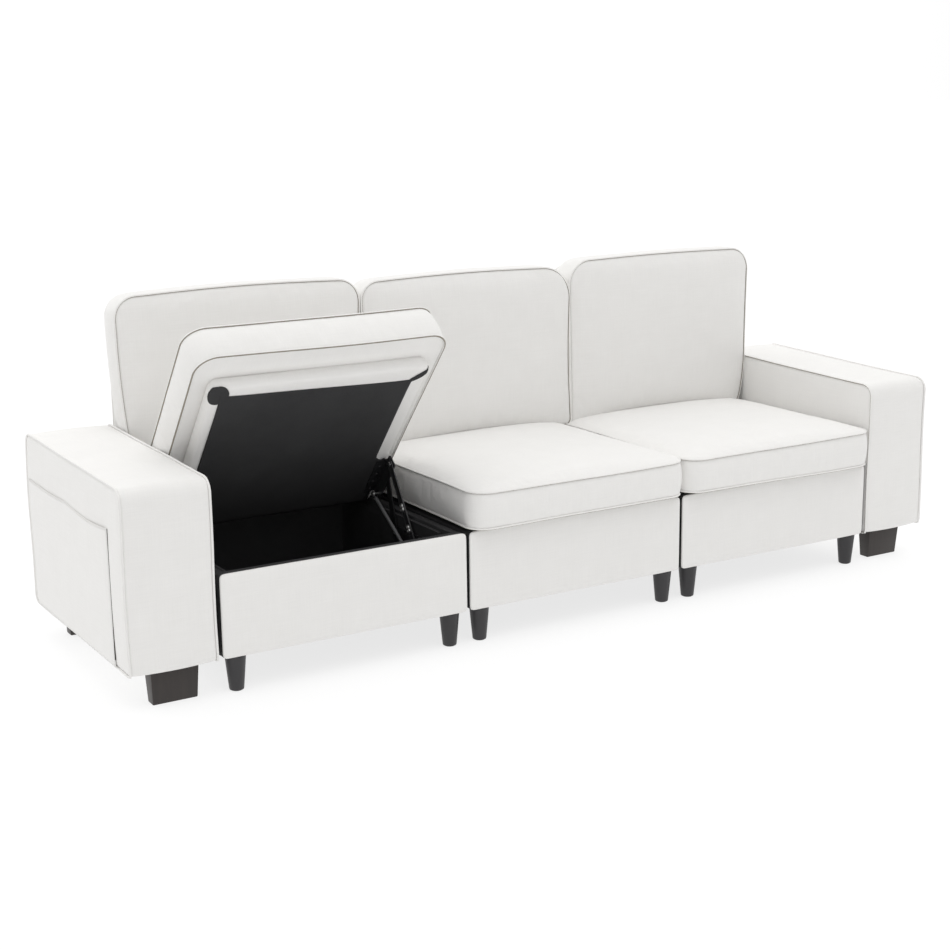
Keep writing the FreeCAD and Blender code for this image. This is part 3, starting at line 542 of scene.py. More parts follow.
def outline(width, height, radii, bow, cell):
    """Four sides of a rounded rectangle, each from the middle of one corner's arc to the middle of the next,
    anticlockwise from the lower left. radii are those of the lower left, lower right, upper right and upper
    left corners. The straight stretches bow inwards by bow, or by each side's own, times the sine of their
    run."""
    ll, lr, ur, ul = radii
    bows = np.broadcast_to(bow, 4)
    centres = [(ll, ll), (width - lr, lr), (width - ur, height - ur), (ul, height - ul)]
    counts = (max(4, round(width / cell)), max(4, round(height / cell)))
    sides = []
    t = np.linspace(0, 1, 41)[1:-1, None]
    for n in range(4):
        there = (n + 1) % 4
        middle = 270 + 90 * n
        first = arc(centres[n], radii[n], middle - 45, middle)
        last = arc(centres[there], radii[there], middle, middle + 45)
        inward = -np.array([math.cos(math.radians(middle)), math.sin(math.radians(middle))])
        line = first[-1] * (1 - t) + last[0] * t + inward * bows[n] * np.sin(np.pi * t)
        sides.append(spread(np.concatenate([first, line, last]), counts[n % 2]))
    return sides


def coons(sides):
    """Grid over four sides: each pair of facing sides blended, less the blend of the four corners."""
    low, right, high, left = sides[0], sides[1], sides[2][::-1], sides[3][::-1]
    u = np.linspace(0, 1, len(low))[None, :, None]
    v = np.linspace(0, 1, len(left))[:, None, None]
    blend = (1 - v) * low[None] + v * high[None] + (1 - u) * left[:, None] + u * right[:, None]
    corner = ((1 - u) * (1 - v) * low[0] + u * (1 - v) * low[-1] + (1 - u) * v * high[0] + u * v * high[-1])
    return blend - corner, u[..., 0] + 0 * v[..., 0], v[..., 0] + 0 * u[..., 0]


def dome(u, v, edge):
    """Height share of a crowned panel: in each direction a quarter ellipse from the edge to full at edge."""
    def rise(t):
        return np.sqrt(1 - (1 - np.clip(np.minimum(t, 1 - t) / edge, 0, 1)) ** 2)
    return rise(u) * rise(v)


def wander(run, size, seed, waves=5):
    """Smooth closed wander of a line: a few sines of its run share, with random phases."""
    dice = np.random.default_rng(seed)
    order = np.arange(2, 2 + waves)
    phase = dice.uniform(0, 2 * np.pi, waves)
    weight = dice.uniform(0.4, 1, waves) / np.sqrt(order)
    turns = 2 * np.pi * order[:, None] * run[None] + phase[:, None]
    return size * (weight[:, None] * np.sin(turns)).sum(axis=0)


def boxed_form(sides, deep, low_rise, high_rise, bulge, rows, wave=0.0, seed=0, low_edge=0.3, high_edge=0.34):
    """Two panels over one outline and the boxing between them, in the space (across, along, up): the low
    panel at 0 sinks by low_rise, the high one at deep rises by high_rise, and the boxing swells by bulge
    times a flattened sine. Both seams wander by wave. Returns the shell's grids and the two seams."""
    flat, u, v = coons(sides)
    ring = np.concatenate([side[:-1] for side in sides])
    run = np.arange(len(ring)) / len(ring)
    shift = np.roll(ring, -1, axis=0) - np.roll(ring, 1, axis=0)
    outward = np.stack([shift[:, 1], -shift[:, 0]], axis=1) / np.linalg.norm(shift, axis=1)[:, None]
    seams = []
    for level, mark in ((0.0, 1), (deep, 2)):
        drift = wander(run, wave, seed * 7 + mark)
        seams.append(np.concatenate([ring, (level + drift)[:, None]], axis=1))
    t = np.linspace(0, 1, rows + 1)[:, None, None]
    box = seams[0][None] * (1 - t) + seams[1][None] * t
    flattened = 0.7
    swell = bulge * np.sin(np.pi * t[..., 0]) ** flattened
    box[..., :2] += swell[..., None] * outward[None]

    def panel(seam, rise, edge):
        """Flat grid lifted by the crown, with its rim on the seam: the seam's drift fades inwards."""
        count_u, count_v = flat.shape[1] - 1, flat.shape[0] - 1
        drift = np.zeros(flat.shape[:2])
        parts = np.split(seam[:, 2], np.cumsum([count_u, count_v, count_u]))
        drift[0, :-1], drift[:-1, -1], drift[-1, :0:-1], drift[:0:-1, 0] = parts
        low, high, left, right = drift[0], drift[-1], drift[:, 0], drift[:, -1]
        blend = (1 - v) * low[None] + v * high[None] + (1 - u) * left[:, None] + u * right[:, None]
        corner = ((1 - u) * (1 - v) * low[0] + u * (1 - v) * low[-1]
                  + (1 - u) * v * high[0] + u * v * high[-1])
        return np.concatenate([flat, (blend - corner + rise * dome(u, v, edge))[..., None]], axis=2)

    low, high = panel(seams[0], -low_rise, low_edge), panel(seams[1], high_rise, high_edge)
    return {"low": low, "high": high, "box": box, "seams": seams}


def grids_of(form):
    """Every grid and seam of a boxed form, to be changed in place."""
    return form["low"], form["high"], form["box"], *form["seams"]


def form_mesh(name, form, matrix, marks=(0, 0, 0), plain_rows=0):
    """Mesh of a boxed form, laid into the row frame by a matrix. marks are the finishes of its low panel,
    high panel and boxing, whose last plain_rows keep the first finish."""
    shell = Shell()
    for key, mark in zip(("low", "high", "box"), marks):
        points = form[key]
        places = strip_map(points, True) if key == "box" else plane_map(points, 0, 1)
        shell.grid(moved(points, matrix), places, wrap=key == "box", mark=mark)
    if plain_rows:
        shell.marks[-1][-plain_rows * form["box"].shape[1]:] = 0
    return shell.mesh(name)


def frames_along(path, closed):
    """Unit vectors across a path, carried along it without twist by turning each to the next chord."""
    after = np.roll(path, -1, axis=0) - path
    before = path - np.roll(path, 1, axis=0)
    if not closed:
        after[-1], before[0] = before[-1], after[0]
    along = after / np.linalg.norm(after, axis=1)[:, None] + before / np.linalg.norm(before, axis=1)[:, None]
    along /= np.linalg.norm(along, axis=1)[:, None]
    askew = (0.3, 0.5, 0.8)
    start = np.cross(along[0], askew)
    side = [start / np.linalg.norm(start)]
    for direction in along[1:]:
        flat = side[-1] - direction * (side[-1] @ direction)
        side.append(flat / np.linalg.norm(flat))
    side = np.array(side)
    if closed:
        last = side[-1] - along[0] * (side[-1] @ along[0])
        miss = math.atan2(np.cross(last, side[0]) @ along[0], last @ side[0])
        turn = (np.arange(len(path)) / len(path) * miss)[:, None]
        side = side * np.cos(turn) + np.cross(along, side) * np.sin(turn)
    return along, side, np.cross(along, side)


def tube_grid(shell, path, radius, sides=8, closed=True, mark=0, pucker=0.03, beat=0.011, up=None,
              crease_shade=None):
    """Round tube along a path: circles of the given radius across it, which thicken and thin by pucker
    with a sine of the run. An open tube ends in a point at each end. up turns the circles so that they begin
    at that direction, and the faces whose angle from it lies within the range of painted shade, in degrees,
    get the mark 1, the painted shade where the tube meets the cloth beside it."""
    path = np.asarray(path, float)
    along, side, lift = frames_along(path, closed)
    if up is not None:
        lift = np.cross(along, up)
        lift /= np.linalg.norm(lift, axis=1)[:, None]
        side = np.cross(lift, along)
    step = np.linalg.norm(np.roll(path, -1, axis=0) - path, axis=1)
    run = np.concatenate([[0], np.cumsum(step)[:-1]])
    angle = np.linspace(0, 2 * np.pi, sides, endpoint=False)
    size = radius * (1 + pucker * np.sin(2 * np.pi * run / beat))
    around = np.cos(angle)[None, :, None] * side[:, None] + np.sin(angle)[None, :, None] * lift[:, None]
    points = path[:, None] + size[:, None, None] * around
    reach = run
    if closed:
        points = np.concatenate([points, points[:1]])
        reach = np.append(run, run[-1] + step[-1])
    else:
        ends = path[[0, -1]] + np.stack([-along[0], along[-1]]) * radius / 2
        tips = np.repeat(ends[:, None], sides, axis=1)
        points = np.concatenate([tips[:1], points, tips[1:]])
        reach = np.concatenate([[run[0]], run, [run[-1]]])
    girth = np.linspace(0, 2 * np.pi * radius, sides + 1)
    places = np.stack([reach[:, None] + girth[None], reach[:, None] - girth[None]], axis=-1)
    shell.grid(points, places, wrap=True, mark=mark)
    # Painted shade: faces in the range get mark 1, a dark finish for the groove's shadow.
    if crease_shade:
        middle = (np.degrees(angle) + 180 / sides - crease_shade[0]) % 360
        shell.marks[-1] = np.tile((middle < crease_shade[1] - crease_shade[0]).astype(int), len(points) - 1)


def add_piping(name, form, matrix, crease_shades, out, body, rest=None):
    """Covered cords that stand out from a boxed form's seams. For each seam the list of painted shades holds
    None where it has no cord, () for a plain cord, or the angles from the form's third axis between which
    the cord gets painted shade: a dark finish that stands for the shadow of the groove where it meets the cloth."""
    radius, sides = bpy.context.scene.sofa_cushion.piping, 12
    up = np.array(matrix.to_3x3() @ UP)
    shell = Shell()
    for seam, crease_shade in zip(form["seams"], crease_shades):
        if crease_shade is not None:
            tube_grid(shell, moved(off_seam(seam, out), matrix), radius, sides, up=up, crease_shade=crease_shade)
    mesh = shell.mesh(name)
    if rest:
        mesh.transform(rest)
    # Finish 1 is the painted shade of the seams' grooves.
    add_piece(name, mesh, ["cover_cloth", "painted_crease_shade"], body)


def off_seam(seam, out):
    """Closed seam moved outwards in its plane."""
    shift = np.roll(seam, -1, axis=0) - np.roll(seam, 1, axis=0)
    outward = np.stack([shift[:, 1], -shift[:, 0]], axis=1) / np.linalg.norm(shift[:, :2], axis=1)[:, None]
    return seam + np.concatenate([outward * out, np.zeros((len(seam), 1))], axis=1)


def lathe(shell, profile, matrix, sides=32, mark=0):
    """Turned form: a profile of (radius, height) points swept about the height axis."""
    profile = np.asarray(profile, float)
    angle = np.linspace(0, 2 * np.pi, sides, endpoint=False)
    flat = profile[:, :1] * np.cos(angle), profile[:, :1] * np.sin(angle), profile[:, 1:] + 0 * angle
    points = np.stack(flat, axis=-1)
    shell.grid(moved(points, matrix), strip_map(points, True), wrap=True, mark=mark)


def stack(shell, rings, matrix, mark=0):
    """Closed form of rings (count, 3) with the same number of points: a point in the middle of the first and
    last ring closes it."""
    rings = np.asarray(rings, float)
    ends = [np.repeat(ring.mean(axis=0)[None], len(ring), axis=0) for ring in (rings[0], rings[-1])]
    points = np.concatenate([ends[0][None], rings, ends[1][None]])
    shell.grid(moved(points, matrix), strip_map(points, True), wrap=True, mark=mark)


def oblong(run, radius, steps=10):
    """Outline of a bar with round ends: half circles about (0, 0) and (run, 0)."""
    return np.concatenate([arc((0, 0), radius, 90, 270, steps), arc((run, 0), radius, -90, 90, steps)])


def rectangle(width, height, radius, steps=4):
    """Outline of a rounded rectangle about its middle."""
    x, y = width / 2 - radius, height / 2 - radius
    corners = ((-x, -y, 180), (x, -y, 270), (x, y, 0), (-x, y, 90))
    return np.concatenate([arc((a, b), radius, start, start + 90, steps) for a, b, start in corners])


def at_height(flat, height):
    """Flat outline (count, 2) as a ring (count, 3) at a height."""
    return np.concatenate([flat, np.full((len(flat), 1), height)], axis=1)


def soft_block(shell, low, high, radius, cell=0.02):
    """Block with rounded edges: each point of a fine box is pulled towards the box shrunk by the radius,
    to lie at that distance from it."""
    low, high = np.array(low, float), np.array(high, float)
    lines = []
    for k in range(3):
        inner = max(2, round((high[k] - low[k] - 2 * radius) / cell))
        bend = radius * (1 - np.cos(np.linspace(0, np.pi / 2, 5)))[:-1]
        straight = np.linspace(low[k] + radius, high[k] - radius, inner + 1)
        lines.append(np.concatenate([low[k] + bend, straight, high[k] - bend[::-1]]))
    for k in range(3):
        first, second = (k + 1) % 3, (k + 2) % 3
        a, b = np.meshgrid(lines[first], lines[second], indexing="ij")
        for level in (low[k], high[k]):
            points = np.zeros(a.shape + (3,))
            points[..., first], points[..., second], points[..., k] = a, b, level
            core = np.clip(points, low + radius, high - radius)
            reach = points - core
            points = core + radius * reach / np.linalg.norm(reach, axis=2)[..., None]
            shell.grid(points, plane_map(points, first, second))


# Where the pieces go

def shut_angle(joint):
    """Angle that shuts a lift joint from rest: the end of its range that isn't zero, where rest is open."""
    return math.radians(min(joint["range_deg"], key=lambda a: -abs(a)))


def about(joint, angle):
    """Turn about a joint's axis."""
    point, turn = Vector(joint["pos_m"]), Matrix.Rotation(angle, 4, Vector(joint["axis"]))
    return Matrix.Translation(point) @ turn @ Matrix.Translation(-point)


def is_open(seat):
    """True where a seat stands open at rest: its bars can then only turn back."""
    return JOINTS[f"{seat}_bars_hinge"]["range_deg"][1] == 0


def lid_place(seat):
    """Matrix from the lid's shut place to its place at rest."""
    if not is_open(seat):
        return Matrix.Identity(4)
    bars, lid = JOINTS[f"{seat}_bars_hinge"], JOINTS[f"{seat}_lid_hinge"]
    return (about(bars, shut_angle(bars)) @ about(lid, shut_angle(lid))).inverted()


def shut_box(seat, node):
    """Low and high corners of a lid's node with the lid shut, read from the middle seat's."""
    low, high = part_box(f"middle_{node}")
    shift = Vector((middle_of(seat) - middle_of("middle"), 0, 0))
    return low + shift, high + shift


def middle_of(seat):
    """X of a seat's middle."""
    low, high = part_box(f"{seat}_front_panel")
    return (low.x + high.x) / 2


def axes(origin, across, along):
    """Matrix whose first two axes are the given ones, from an origin."""
    across, along = Vector(across).normalized(), Vector(along).normalized()
    third = across.cross(along)
    return Matrix(((across.x, along.x, third.x, origin[0]), (across.y, along.y, third.y, origin[1]),
                   (across.z, along.z, third.z, origin[2]), (0, 0, 0, 1)))


# Cushions

SIMULATED_FRAMES = 20
CROWN = 31 * MM  # height of a seat cushion over its upper seam
BackShape = namedtuple("BackShape", "left right foot_left foot_right drop upper_right upper_left bow")
BACK_SHAPES = {
    # spill to the left and right of the frame, (draw, how fast it ends) at the foot on the left and right,
    # drop of the top, upper right and left radii, bow of the top
    "left": BackShape(22 * MM, 1 * MM, (40 * MM, 1.3), (5 * MM, 3), -1 * MM, 66 * MM, 60 * MM, -7 * MM),
    "middle": BackShape(-2 * MM, 18 * MM, (2 * MM, 3), (-7 * MM, 1), 12 * MM, 100 * MM, 55 * MM, -6 * MM),
    "right": BackShape(-11 * MM, 12 * MM, (7 * MM, 1), (28 * MM, 3), -1 * MM, 70 * MM, 75 * MM, -4 * MM),
}


def vertex_places(mesh):
    """Vertex coordinates as an array."""
    points = np.zeros(len(mesh.vertices) * 3)
    mesh.vertices.foreach_get("co", points)
    return points.reshape(-1, 3)


def settle(piece, held):
    """Cloth simulation that rounds a cover out: pressure from inside, no gravity, seams held and the foam
    under the panels holding a little. A point's move nears the cushions' largest move and never passes it."""
    cushion = bpy.context.scene.sofa_cushion
    group = piece.vertex_groups.new(name="held")
    for level in np.unique(held):
        group.add(np.flatnonzero(held == level).tolist(), float(level), "REPLACE")
    cloth = piece.modifiers.new("cloth", "CLOTH")
    fabric = cloth.settings
    fabric.quality = 5
    fabric.mass = 0.3
    fabric.tension_stiffness = fabric.compression_stiffness = 18
    fabric.shear_stiffness = 6
    fabric.bending_stiffness = 0.8
    fabric.use_pressure = True
    fabric.uniform_pressure_force = cushion.pressure
    fabric.shrink_min = -cushion.slack
    fabric.vertex_group_mass = "held"
    fabric.effector_weights.gravity = 0
    cloth.collision_settings.use_collision = False
    before = vertex_places(piece.data)
    for step in range(SIMULATED_FRAMES):
        bpy.context.scene.frame_set(step + 1)
    graph = bpy.context.evaluated_depsgraph_get()
    move = vertex_places(piece.evaluated_get(graph).data) - before
    size = np.linalg.norm(move, axis=1)[:, None]
    move *= cushion.limit * np.tanh(size / cushion.limit) / np.maximum(size, 1e-9)
    piece.data.vertices.foreach_set("co", (before + move).ravel())
    piece.modifiers.remove(cloth)
    piece.vertex_groups.clear()
    bpy.context.scene.frame_set(1)


def nearest_seam(points, seams):
    """Distance from each point to the closest seam point. The points are taken in batches to spare memory."""
    batches = 8
    near = np.full(len(points), np.inf)
    for seam in seams:
        for part in np.array_split(np.arange(len(points)), batches):
            gap = np.linalg.norm(points[part][:, None] - seam[None], axis=2).min(axis=1)
            near[part] = np.minimum(near[part], gap)
    return near


def puckers(piece, near, seed):
    """Small dents beside the seams, along the cover's own normals: random bumps that fade with the distance
    from the seam, and long shallow folds over the whole cover."""
    cushion = bpy.context.scene.sofa_cushion
    points = vertex_places(piece.data)
    normals = np.zeros(len(points) * 3)
    piece.data.vertex_normals.foreach_get("vector", normals)
    normals = normals.reshape(-1, 3)
    dice = np.random.default_rng(seed)

    def bumps(pitch, waves):
        """Sum of sines along random directions, of about the given pitch."""
        total = np.zeros(len(points))
        for _ in range(waves):
            way = dice.normal(size=3)
            way *= 2 * np.pi / pitch / np.linalg.norm(way) * dice.uniform(0.6, 1.4)
            total += np.sin(points @ way + dice.uniform(0, 2 * np.pi)) / math.sqrt(waves)
        return total

    small, broad = bumps(28 * MM, 26), bumps(190 * MM, 12)
    peak, width, rim, broad_rim, broad_share = 10 * MM, 22 * MM, 6 * MM, 30 * MM, 0.9
    fade = np.exp(-((near - peak) / width) ** 2) * np.clip(near / rim, 0, 1)
    move = cushion.pucker * (small * fade + broad_share * broad * np.clip(near / broad_rim, 0, 1))
    piece.data.vertices.foreach_set("co", (points + normals * move[:, None]).ravel())
    piece.data.update()


def soft_cover(name, form, matrix, rest, body, node, seed, crease_shades):
    """Cushion cover from a boxed form, simulated in its shut place, with piping along the seams that the given
    painted shades name, each cord painted darker in its shaded range. The pieces are then carried to their place
    at rest."""
    out, on_seam, foam_hold = 1.2 * MM, 0.5 * MM, 0.12
    piece = add_cover(name, form, matrix, body, node)
    near = nearest_seam(vertex_places(piece.data), [moved(seam, matrix) for seam in form["seams"]])
    settle(piece, np.where(near < on_seam, 1.0, foam_hold))
    puckers(piece, near, seed)
    piece.data.transform(rest)
    pad_out(piece)
    add_piping(f"{name}_piping", form, matrix, crease_shades, out, body, rest)


def build_seat_cushions():
    """Boxed seat cushions on the lid boards: rounded plan corners, crowned top, swollen boxing."""
    cushion = bpy.context.scene.sofa_cushion
    side, end, front, rear, bow, clear = 4 * MM, 2.5 * MM, 55 * MM, 30 * MM, 3 * MM, 1 * MM
    open_slip, rows, low_edge, high_edge, fill = -3 * MM, 12, 0.1, 0.36, 0.9
    # Angles of painted shade on the lower and upper cords, where they meet the cloth.
    crease_shades = ((115, 220), (110, 190))
    for n, seat in enumerate(SEATS):
        low, high = shut_box(seat, "seat_cushion")
        board = shut_box(seat, "lid_board")[1].z
        seam = high.z - board - CROWN - clear
        width, deep = high.x - low.x - 2 * side, high.y - low.y - 2 * end
        sides = outline(width, deep, (front, front, rear, rear), bow, cushion.cell)
        form = boxed_form(sides, seam + cushion.droop, clear - cushion.droop, CROWN - 2 * clear,
                          cushion.bulge, rows, cushion.sag, seed=n + 1, low_edge=low_edge,
                          high_edge=high_edge)
        slip = open_slip if is_open(seat) else 0
        matrix = Matrix.Translation((low.x + side + slip, low.y + end, board - cushion.droop))
        soft_cover(f"{seat}_seat_cover", form, matrix, lid_place(seat), f"{seat}_lid",
                   f"{seat}_seat_cushion", 11 + n, crease_shades)


def build_back_cushions():
    """Boxed back cushions: round top corners, crowned front, boxing that meets the back frame. Their lower
    edge arches over the seat's crown, and they lean a little over their neighbours and the arms."""
    cushion = bpy.context.scene.sofa_cushion
    side, clear, under_top, crown, foot = 4 * MM, 1 * MM, 4 * MM, 24 * MM, 20 * MM
    arch, right_bow, left_bow, bulge, rows, fill = 22 * MM, 4 * MM, 2 * MM, 5 * MM, 10, 0.85
    for n, seat in enumerate(SEATS):
        shape = BACK_SHAPES[seat]
        low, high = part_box(f"{seat}_back_cushion")
        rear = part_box(f"{seat}_back_frame")[0].y
        bottom = shut_box(seat, "seat_cushion")[1].z - CROWN - clear
        width = high.x - low.x - 2 * side + shape.left + shape.right
        tall = high.z - under_top - shape.drop - bottom
        sides = outline(width, tall, (foot, foot, shape.upper_right, shape.upper_left),
                        (arch, right_bow, shape.bow, left_bow), cushion.cell)
        form = boxed_form(sides, rear - low.y - crown, 0.0, crown - 3 * clear, bulge, rows, cushion.sag,
                          seed=n + 5)
        ease_back(form, shape)
        matrix = axes((low.x + side - shape.left, rear, bottom), ACROSS, UP)
        # No cord at the rear seam; painted shade on the front cord between 270 and 345 degrees.
        soft_cover(f"{seat}_back_cover", form, matrix, Matrix.Identity(4), "root", f"{seat}_back_cushion",
                   31 + n, (None, (270, 345)))


def ease_back(form, shape):
    """Draws the sides of a back cushion in towards its foot, and its rear edge a little in and down. Each
    draw falls off with the square of one less its rate times the height, and has a limit."""
    wide, tall, deep = (form["box"][..., k].max() for k in range(3))
    rear, most = 3 * MM, 24 * MM
    for grid in grids_of(form):
        across, up = grid[..., 0] / wide, grid[..., 1] / tall
        behind = np.clip(1 - grid[..., 2] / deep, 0, 1)
        left, right = (np.minimum(draw * np.clip(1 - rate * up, 0, 1) ** 2, most)
                       for draw, rate in (shape.foot_left, shape.foot_right))
        grid[..., 0] += left * (1 - across) - right * across + behind * rear * (1 - 2 * across)
        grid[..., 1] -= behind * rear * up ** 2


def build_back_frames():
    """Upholstered frames behind the back cushions, piped round their rear edge."""
    puff = bpy.context.scene.sofa_build.puff
    inset, foot, shoulder, cell, gap, wave = 8 * MM, 8 * MM, 100 * MM, 22 * MM, 2 * MM, 0.6 * MM
    rows, low_edge, fill = 5, 0.2, 0.95
    for n, seat in enumerate(SEATS):
        low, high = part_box(f"{seat}_back_frame")
        width, tall = high.x - low.x - 2 * inset, high.z - low.z - 3 * inset
        sides = outline(width, tall, (foot, foot, shoulder, shoulder), 0.0, cell)
        form = boxed_form(sides, high.y - low.y - gap, puff, 0.0, puff, rows, wave, seed=n + 15,
                          low_edge=low_edge)
        matrix = axes((low.x + inset, high.y - gap, low.z), ACROSS, UP)
        name = f"{seat}_back_shell"
        piece = add_cover(name, form, matrix, "root", f"{seat}_back_frame", 60)
        pad_out(piece)
        add_piping(f"{name}_piping", form, matrix, ((), None), 0.0, "root")


# Storage boxes

def build_front_panels():
    """Padded front panels: a cover drawn tight round their edges, black lining behind."""
    spill, crown, gap, bulge, wave = 1.5 * MM, 2.5 * MM, 1 * MM, 0.3 * MM, 0.5 * MM
    foot, shoulder, cell, rows, low_edge, high_edge, cover_rows = 4 * MM, 6 * MM, 12 * MM, 10, 0.3, 0.03, 2
    for n, seat in enumerate(SEATS):
        low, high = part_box(f"{seat}_front_panel")
        width, tall = high.x - low.x + 2 * spill, high.z - low.z
        sides = outline(width, tall, (foot, foot, shoulder, shoulder), 0.0, cell)
        form = boxed_form(sides, high.y - low.y - gap, 0.0, crown, bulge, rows, wave, seed=n + 25,
                          low_edge=low_edge, high_edge=high_edge)
        matrix = axes((low.x - spill, high.y, low.z), ACROSS, UP)
        name = f"{seat}_panel_cover"
        mesh = form_mesh(name, form, matrix, (1, 0, 1), cover_rows)
        piece = add_piece(name, mesh, ["cover_cloth", "lining_cloth"], "root",
                          [f"{seat}_front_panel"], 50)
        pad_out(piece)


def build_side_walls():
    """Side walls of the boxes, wrapped in black lining, with a piped ridge along the inner top edge."""
    edge, cell = 5 * MM, 30 * MM
    ridge_in, ridge_end, ridge_up, ridge_radius, ridge_steps = 4 * MM, 6 * MM, 0.6 * MM, 3.2 * MM, 60
    for seat in SEATS:
        low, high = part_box(f"{seat}_side_walls")
        left, right = (corner.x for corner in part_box(f"{seat}_floor_board"))
        covers, ridges = Shell(), Shell()
        for start, stop, x in ((low.x, left, left - ridge_in), (right, high.x, right + ridge_in)):
            soft_block(covers, (start, low.y, low.z), (stop, high.y, high.z), edge, cell)
            y = np.linspace(low.y + ridge_end, high.y - ridge_end, ridge_steps)
            wave = 0.8 * MM * np.sin(y * 31) + 0.5 * MM * np.sin(y * 74)
            path = np.stack([x + wave, y, np.full(ridge_steps, high.z + ridge_up)], axis=1)
            tube_grid(ridges, path, ridge_radius, closed=False)
        name = f"{seat}_wall_covers"
        add_piece(name, covers.mesh(name), ["lining_cloth"], "root", [f"{seat}_side_walls"])
        add_piece(f"{name}_ridge", ridges.mesh(f"{name}_ridge"), ["lining_cloth"], "root")


def folds(points, dice):
    """Shallow folds over points: the sum of a few sines along random directions."""
    waves, turns, phases = 9, 26, 6
    total = np.zeros(points.shape[:-1])
    for _ in range(waves):
        way = dice.normal(size=3) * turns
        total += np.sin(points @ way + dice.uniform(0, phases))
    return total / math.sqrt(waves)


def build_linings():
    """Loose black lining in each box: a tray of cloth whose walls stand a little off the boards, with
    shallow folds."""
    below_rim, gap, radius, cell, rows = 14 * MM, 1.5 * MM, 12 * MM, 16 * MM, 11
    floor_fold, floor_edge, wall_fold, thickness = 1.1 * MM, 0.06, 0.9 * MM, 0.6 * MM
    for n, seat in enumerate(SEATS):
        low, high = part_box(f"{seat}_floor_board")
        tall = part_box(f"{seat}_rear_wall")[1].z - below_rim - high.z - gap
        wide, deep = high.x - low.x - 2 * gap, high.y - low.y - 2 * gap
        origin = np.array((low.x + gap, low.y + gap, high.z + gap))
        sides = outline(wide, deep, (radius,) * 4, 0.0, cell)
        flat, u, v = coons(sides)
        ring = np.concatenate([side[:-1] for side in sides])
        dice = np.random.default_rng(50 + n)
        floor = np.concatenate([flat, np.zeros(flat.shape[:2] + (1,))], axis=2) + origin
        floor[..., 2] += floor_fold * (1 + folds(floor, dice)) * dome(u, v, floor_edge)
        rise = np.linspace(0, 1, rows)[:, None]
        walls = np.zeros((rows, len(ring), 3))
        walls[..., :2] = ring
        walls[..., 2] = rise * tall
        walls += origin
        inward = (origin + (wide / 2, deep / 2, 0) - walls) * (1, 1, 0)
        inward /= np.linalg.norm(inward, axis=2)[..., None]
        walls += inward * (wall_fold * (1 + folds(walls, dice)) * np.sin(np.pi * rise) ** 0.5)[..., None]
        shell = Shell()
        shell.grid(floor, plane_map(floor, 0, 1))
        shell.grid(walls, strip_map(walls, True), wrap=True)
        name = f"{seat}_box_lining"
        piece = add_piece(name, shell.mesh(name), ["lining_cloth"], "root", (), 60)
        lay_sheet(piece, thickness, (wide + 2 * tall, deep + 2 * tall))


def build_lids():
    """Lid boards wrapped in cover fabric over padding, and the black dust covers under them."""
    inset, radius, bow, cell, wave = 6 * MM, 12 * MM, 2 * MM, 16 * MM, 0.8 * MM
    thinner, lift, sink, bulge, rows, low_edge = 4 * MM, 3 * MM, 2.5 * MM, 8 * MM, 10, 0.04
    for n, seat in enumerate(SEATS):
        low, high = shut_box(seat, "lid_board")
        sides = outline(high.x - low.x, high.y - low.y - 2 * inset, (radius,) * 4, bow, cell)
        form = boxed_form(sides, high.z - low.z - thinner, sink, 0.0, bulge, rows, wave,
                          seed=n + 35, low_edge=low_edge)
        matrix = Matrix.Translation((low.x, low.y + inset, low.z + lift))
        name = f"{seat}_lid_cover"
        piece = add_cover(name, form, matrix, f"{seat}_lid", f"{seat}_lid_board")
        pad_out(piece)
        build_dust_cover(seat, piece)
        piece.data.transform(lid_place(seat))


